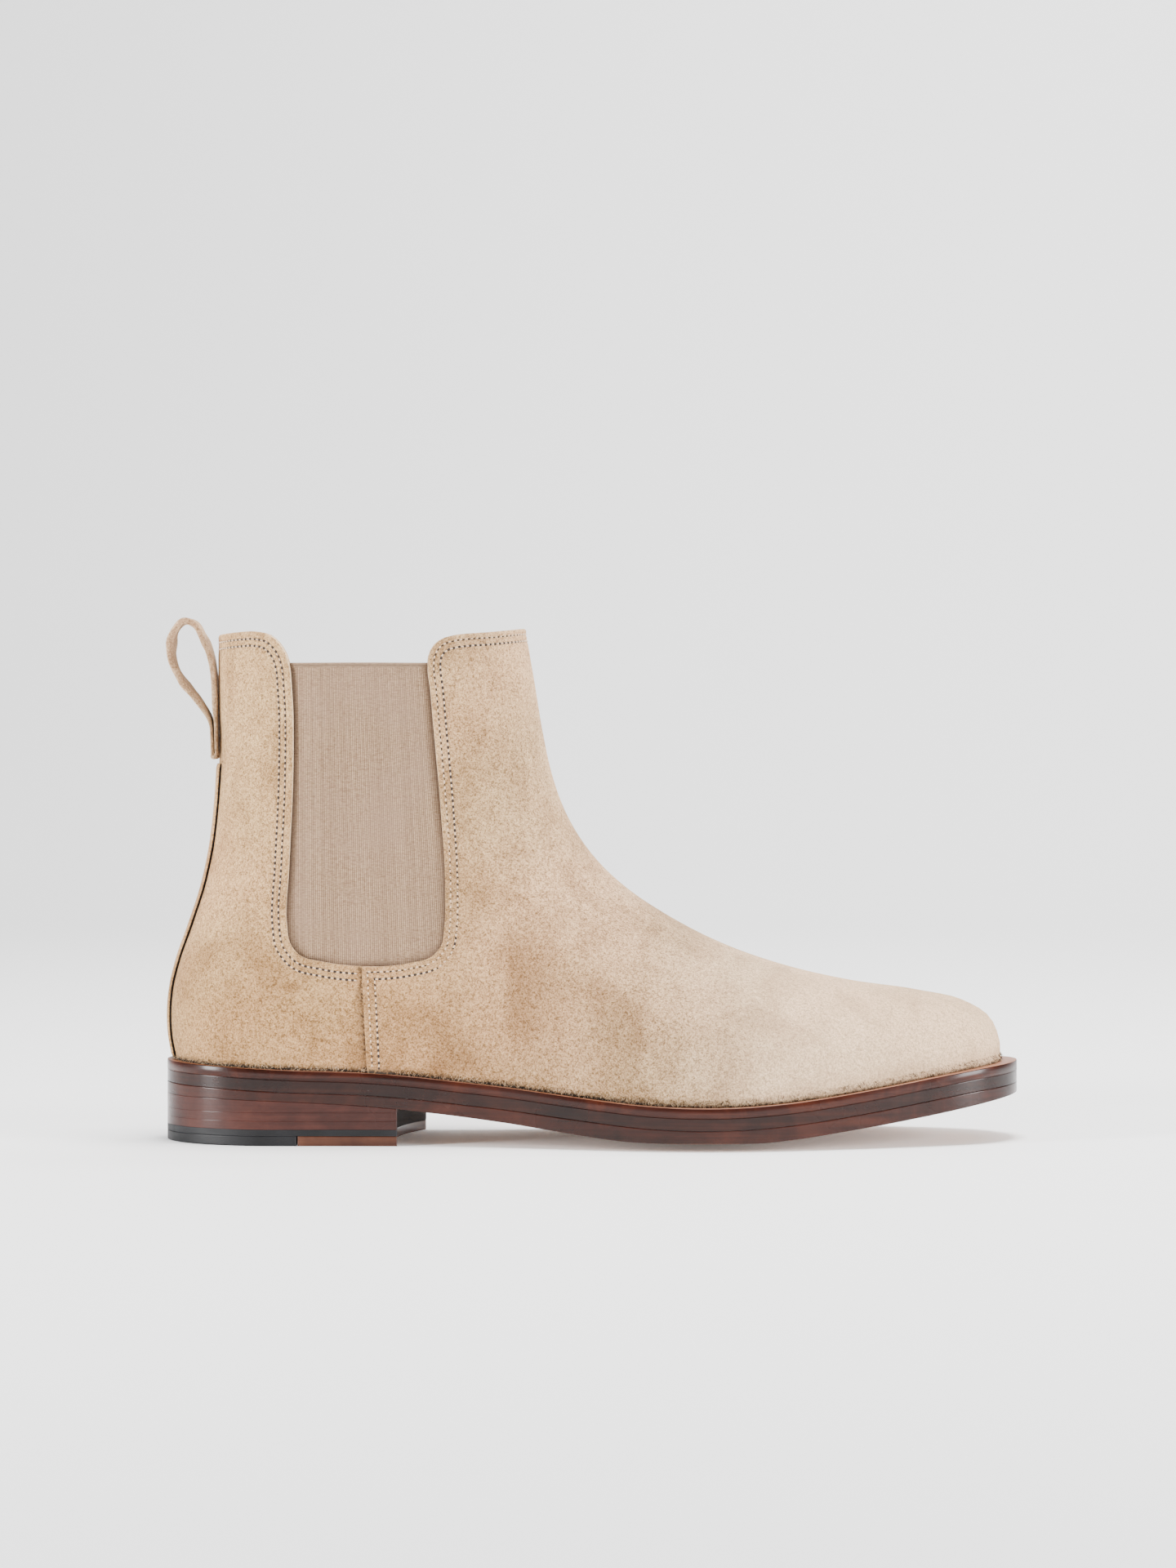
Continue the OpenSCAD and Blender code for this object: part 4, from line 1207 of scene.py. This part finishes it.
sole["top_piece"] = top_piece()
sole["top_piece_insert"] = slab("top_piece_insert", plan_inset(fore_xy, 0.06), level(INSERT_T - 0.02), level(0),
                                mat_insert, bevel=0.25, face_materials=[mat_insert, mat_insert, mat_insert])
SOCK_LOW = 6.3
sock_xy = edge_ring(ring_a, -4.6)
sole["sock_liner"] = slab("sock_liner", sock_xy, above_feather(SOCK_LOW + 1.2), above_feather(SOCK_LOW), mat_lining,
                          bevel=0.4)


# ---------------------------------------------------------------- nap hairs along the welt
def hairs(count):
    a = rng.uniform(0, 2, count * 2)
    weight = np.linalg.norm(surface(a + 1e-3, a * 0)[0] - surface(a, a * 0)[0], axis=1)
    a = a[rng.uniform(0, weight.max(), len(a)) < weight][:count]
    v = rng.uniform(0.0, 0.012, len(a))
    p, n = surface(a, v)
    root = p - 0.05 * n
    length = rng.uniform(0.8, 2.3, len(a))
    along = np.cross(n, [0, 0, 1.0])
    way = n * rng.uniform(0.25, 0.8, len(a))[:, None] + along * rng.normal(0, 0.45, len(a))[:, None]
    way[:, 2] -= rng.uniform(0.1, 0.9, len(a))
    way /= np.linalg.norm(way, axis=1, keepdims=True)
    side = np.cross(way, n)
    side /= np.linalg.norm(side, axis=1, keepdims=True) + 1e-9
    up = np.cross(side, way)
    tip = root + way * length[:, None]
    tip[:, 2] = np.maximum(tip[:, 2], feather(tip[:, 0]) + 0.15)
    mid = root + way * (0.5 * length)[:, None] + n * 0.12
    r = rng.uniform(0.05, 0.09, len(a))[:, None]
    ring = [side * r, (-0.5 * side + 0.87 * up) * r, (-0.5 * side - 0.87 * up) * r]
    verts = np.stack([root + q for q in ring] + [mid + 0.7 * q for q in ring] + [tip], 1)
    f = [[2, 1, 0], [0, 1, 4, 3], [1, 2, 5, 4], [2, 0, 3, 5], [3, 4, 6], [4, 5, 6], [5, 3, 6]]
    faces = [[q + 7 * k for q in g] for k in range(len(a)) for g in f]
    mats = np.repeat(rng.integers(0, 2, len(a)), len(f))
    return make("nap_hairs", verts.reshape(-1, 3), faces, mat_cut, mats=[mat_cut, mat_strap_edge], face_mats=mats)


nap = hairs(5200)


def bends(obj):
    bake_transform(obj)


def settle(obj, node, body="boot", slot=None):
    if body:
        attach(obj, body)


for o, nodes in (
    (uppers["vamp"], ("vamp", "vamp_shaft")),
    (gussets["lateral"], ("gusset_lateral",)), (gussets["medial"], ("gusset_medial",)),
    (linings["vamp_lining"], ("vamp_lining", "vamp_lining_shaft")),
):
    bends(o)
    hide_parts(*nodes)
bends(sewn["vamp"])
for side in ("lateral", "medial"):
    o = uppers[f"quarter_{side}"]
    bends(o)
    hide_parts(f"quarter_{side}")
    bends(sewn[f"quarter_{side}"])
    o = linings[f"quarter_lining_{side}"]
    bends(o)
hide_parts("quarter_lining")
for o, node, body in (
    [(back_strap, "backstay", "boot"), (loop_strap, "pull_loop", "pull_loop")]
    + [(o, n, "boot") for n, o in sole.items()]
):
    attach(o, body)
    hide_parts(node)
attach(nap, "boot")

KEPT = {
    "heel_counter": mat_board, "toe_puff": mat_board, "insole": mat_board, "cork_filler": mat_cork,
    "shank": mat_steel, "heel_nails": mat_brass,
}
for node, material in KEPT.items():
    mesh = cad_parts[node].data
    mesh.materials.clear()
    mesh.materials.append(material)


# ---------------------------------------------------------------- stage, camera and light
def sweep():
    """A pale floor that curves up into a backdrop; painted light makes it lighter and faintly glowing towards the
    right.
    """
    y = np.concatenate([np.linspace(-3000, 1500, 10), 1500 + 900 * np.sin(np.linspace(0.1, math.pi / 2, 14))])
    z = np.concatenate([np.zeros(10), 900 * (1 - np.cos(np.linspace(0.1, math.pi / 2, 14)))])
    y, z = np.append(y, 2400), np.append(z, 4000)
    x = np.array([-4000.0, 4000.0])
    verts = [[a, b, c - 0.02] for b, c in zip(y, z) for a in x]
    faces = [[2 * i, 2 * i + 1, 2 * i + 3, 2 * i + 2] for i in range(len(y) - 1)]
    m = Nodes("backdrop")
    # painted light: the floor's colour and its glow rise from left to right
    across = m.span(m.axis(0), -0.7, 0.7)
    tone = m.ramp(across, (0.0, rgb(238, 238, 238)), (1.0, rgb(250, 250, 250)))
    glow = m.ramp(across, (0.0, rgb(196, 196, 196)), (1.0, rgb(255, 255, 255)))
    return make("floor", verts, faces, m.finish(tone, 0.9, Specular_IOR_Level=0.0, Emission_Color=glow,
                                                Emission_Strength=0.12))


def area(name, place, aim, size, power, colour=(1, 1, 1)):
    light = bpy.data.lights.new(name, "AREA")
    light.shape = "RECTANGLE"
    light.size, light.size_y = size
    light.energy = power
    light.color = colour
    obj = bpy.data.objects.new(name, light)
    bpy.context.scene.collection.objects.link(obj)
    obj.location = place
    obj.rotation_euler = (Vector(aim) - Vector(place)).to_track_quat("-Z", "Y").to_euler()
    return obj


world = bpy.data.worlds.new("world")
bpy.context.scene.world = world
world.use_nodes = True
world.node_tree.nodes["Background"].inputs[0].default_value = (1, 1, 1, 1)
world.node_tree.nodes["Background"].inputs[1].default_value = 0.27

floor = sweep()
lamps = [
    area("key", (0.4, -1.5, 1.6), (0, 0, 0.1), (1.2, 1.2), 7),
    area("left", (-1.25, -0.62, 0.3), (-0.1, 0, 0.05), (0.3, 0.9), 46),
    area("right", (1.35, -0.55, 0.3), (0.1, 0, 0.04), (0.5, 0.8), 46),
    area("top", (0.1, 0.0, 1.9), (0, 0, 0), (0.6, 0.6), 70),
    area("backdrop_light", (0.9, 0.9, 2.2), (0.7, 2.4, 0.9), (2.0, 0.8), 62),
]

camera = bpy.data.cameras.new("camera")
camera.sensor_width = 36
camera.lens = 96.2
camera.clip_end = 20
eye = bpy.data.objects.new("camera", camera)
bpy.context.scene.collection.objects.link(eye)
eye.location = (-0.0015, -1.5, 0.150)
eye.rotation_euler = (Vector((-0.0015, 0, 0.127)) - Vector(eye.location)).to_track_quat("-Z", "Y").to_euler()
bpy.context.scene.camera = eye
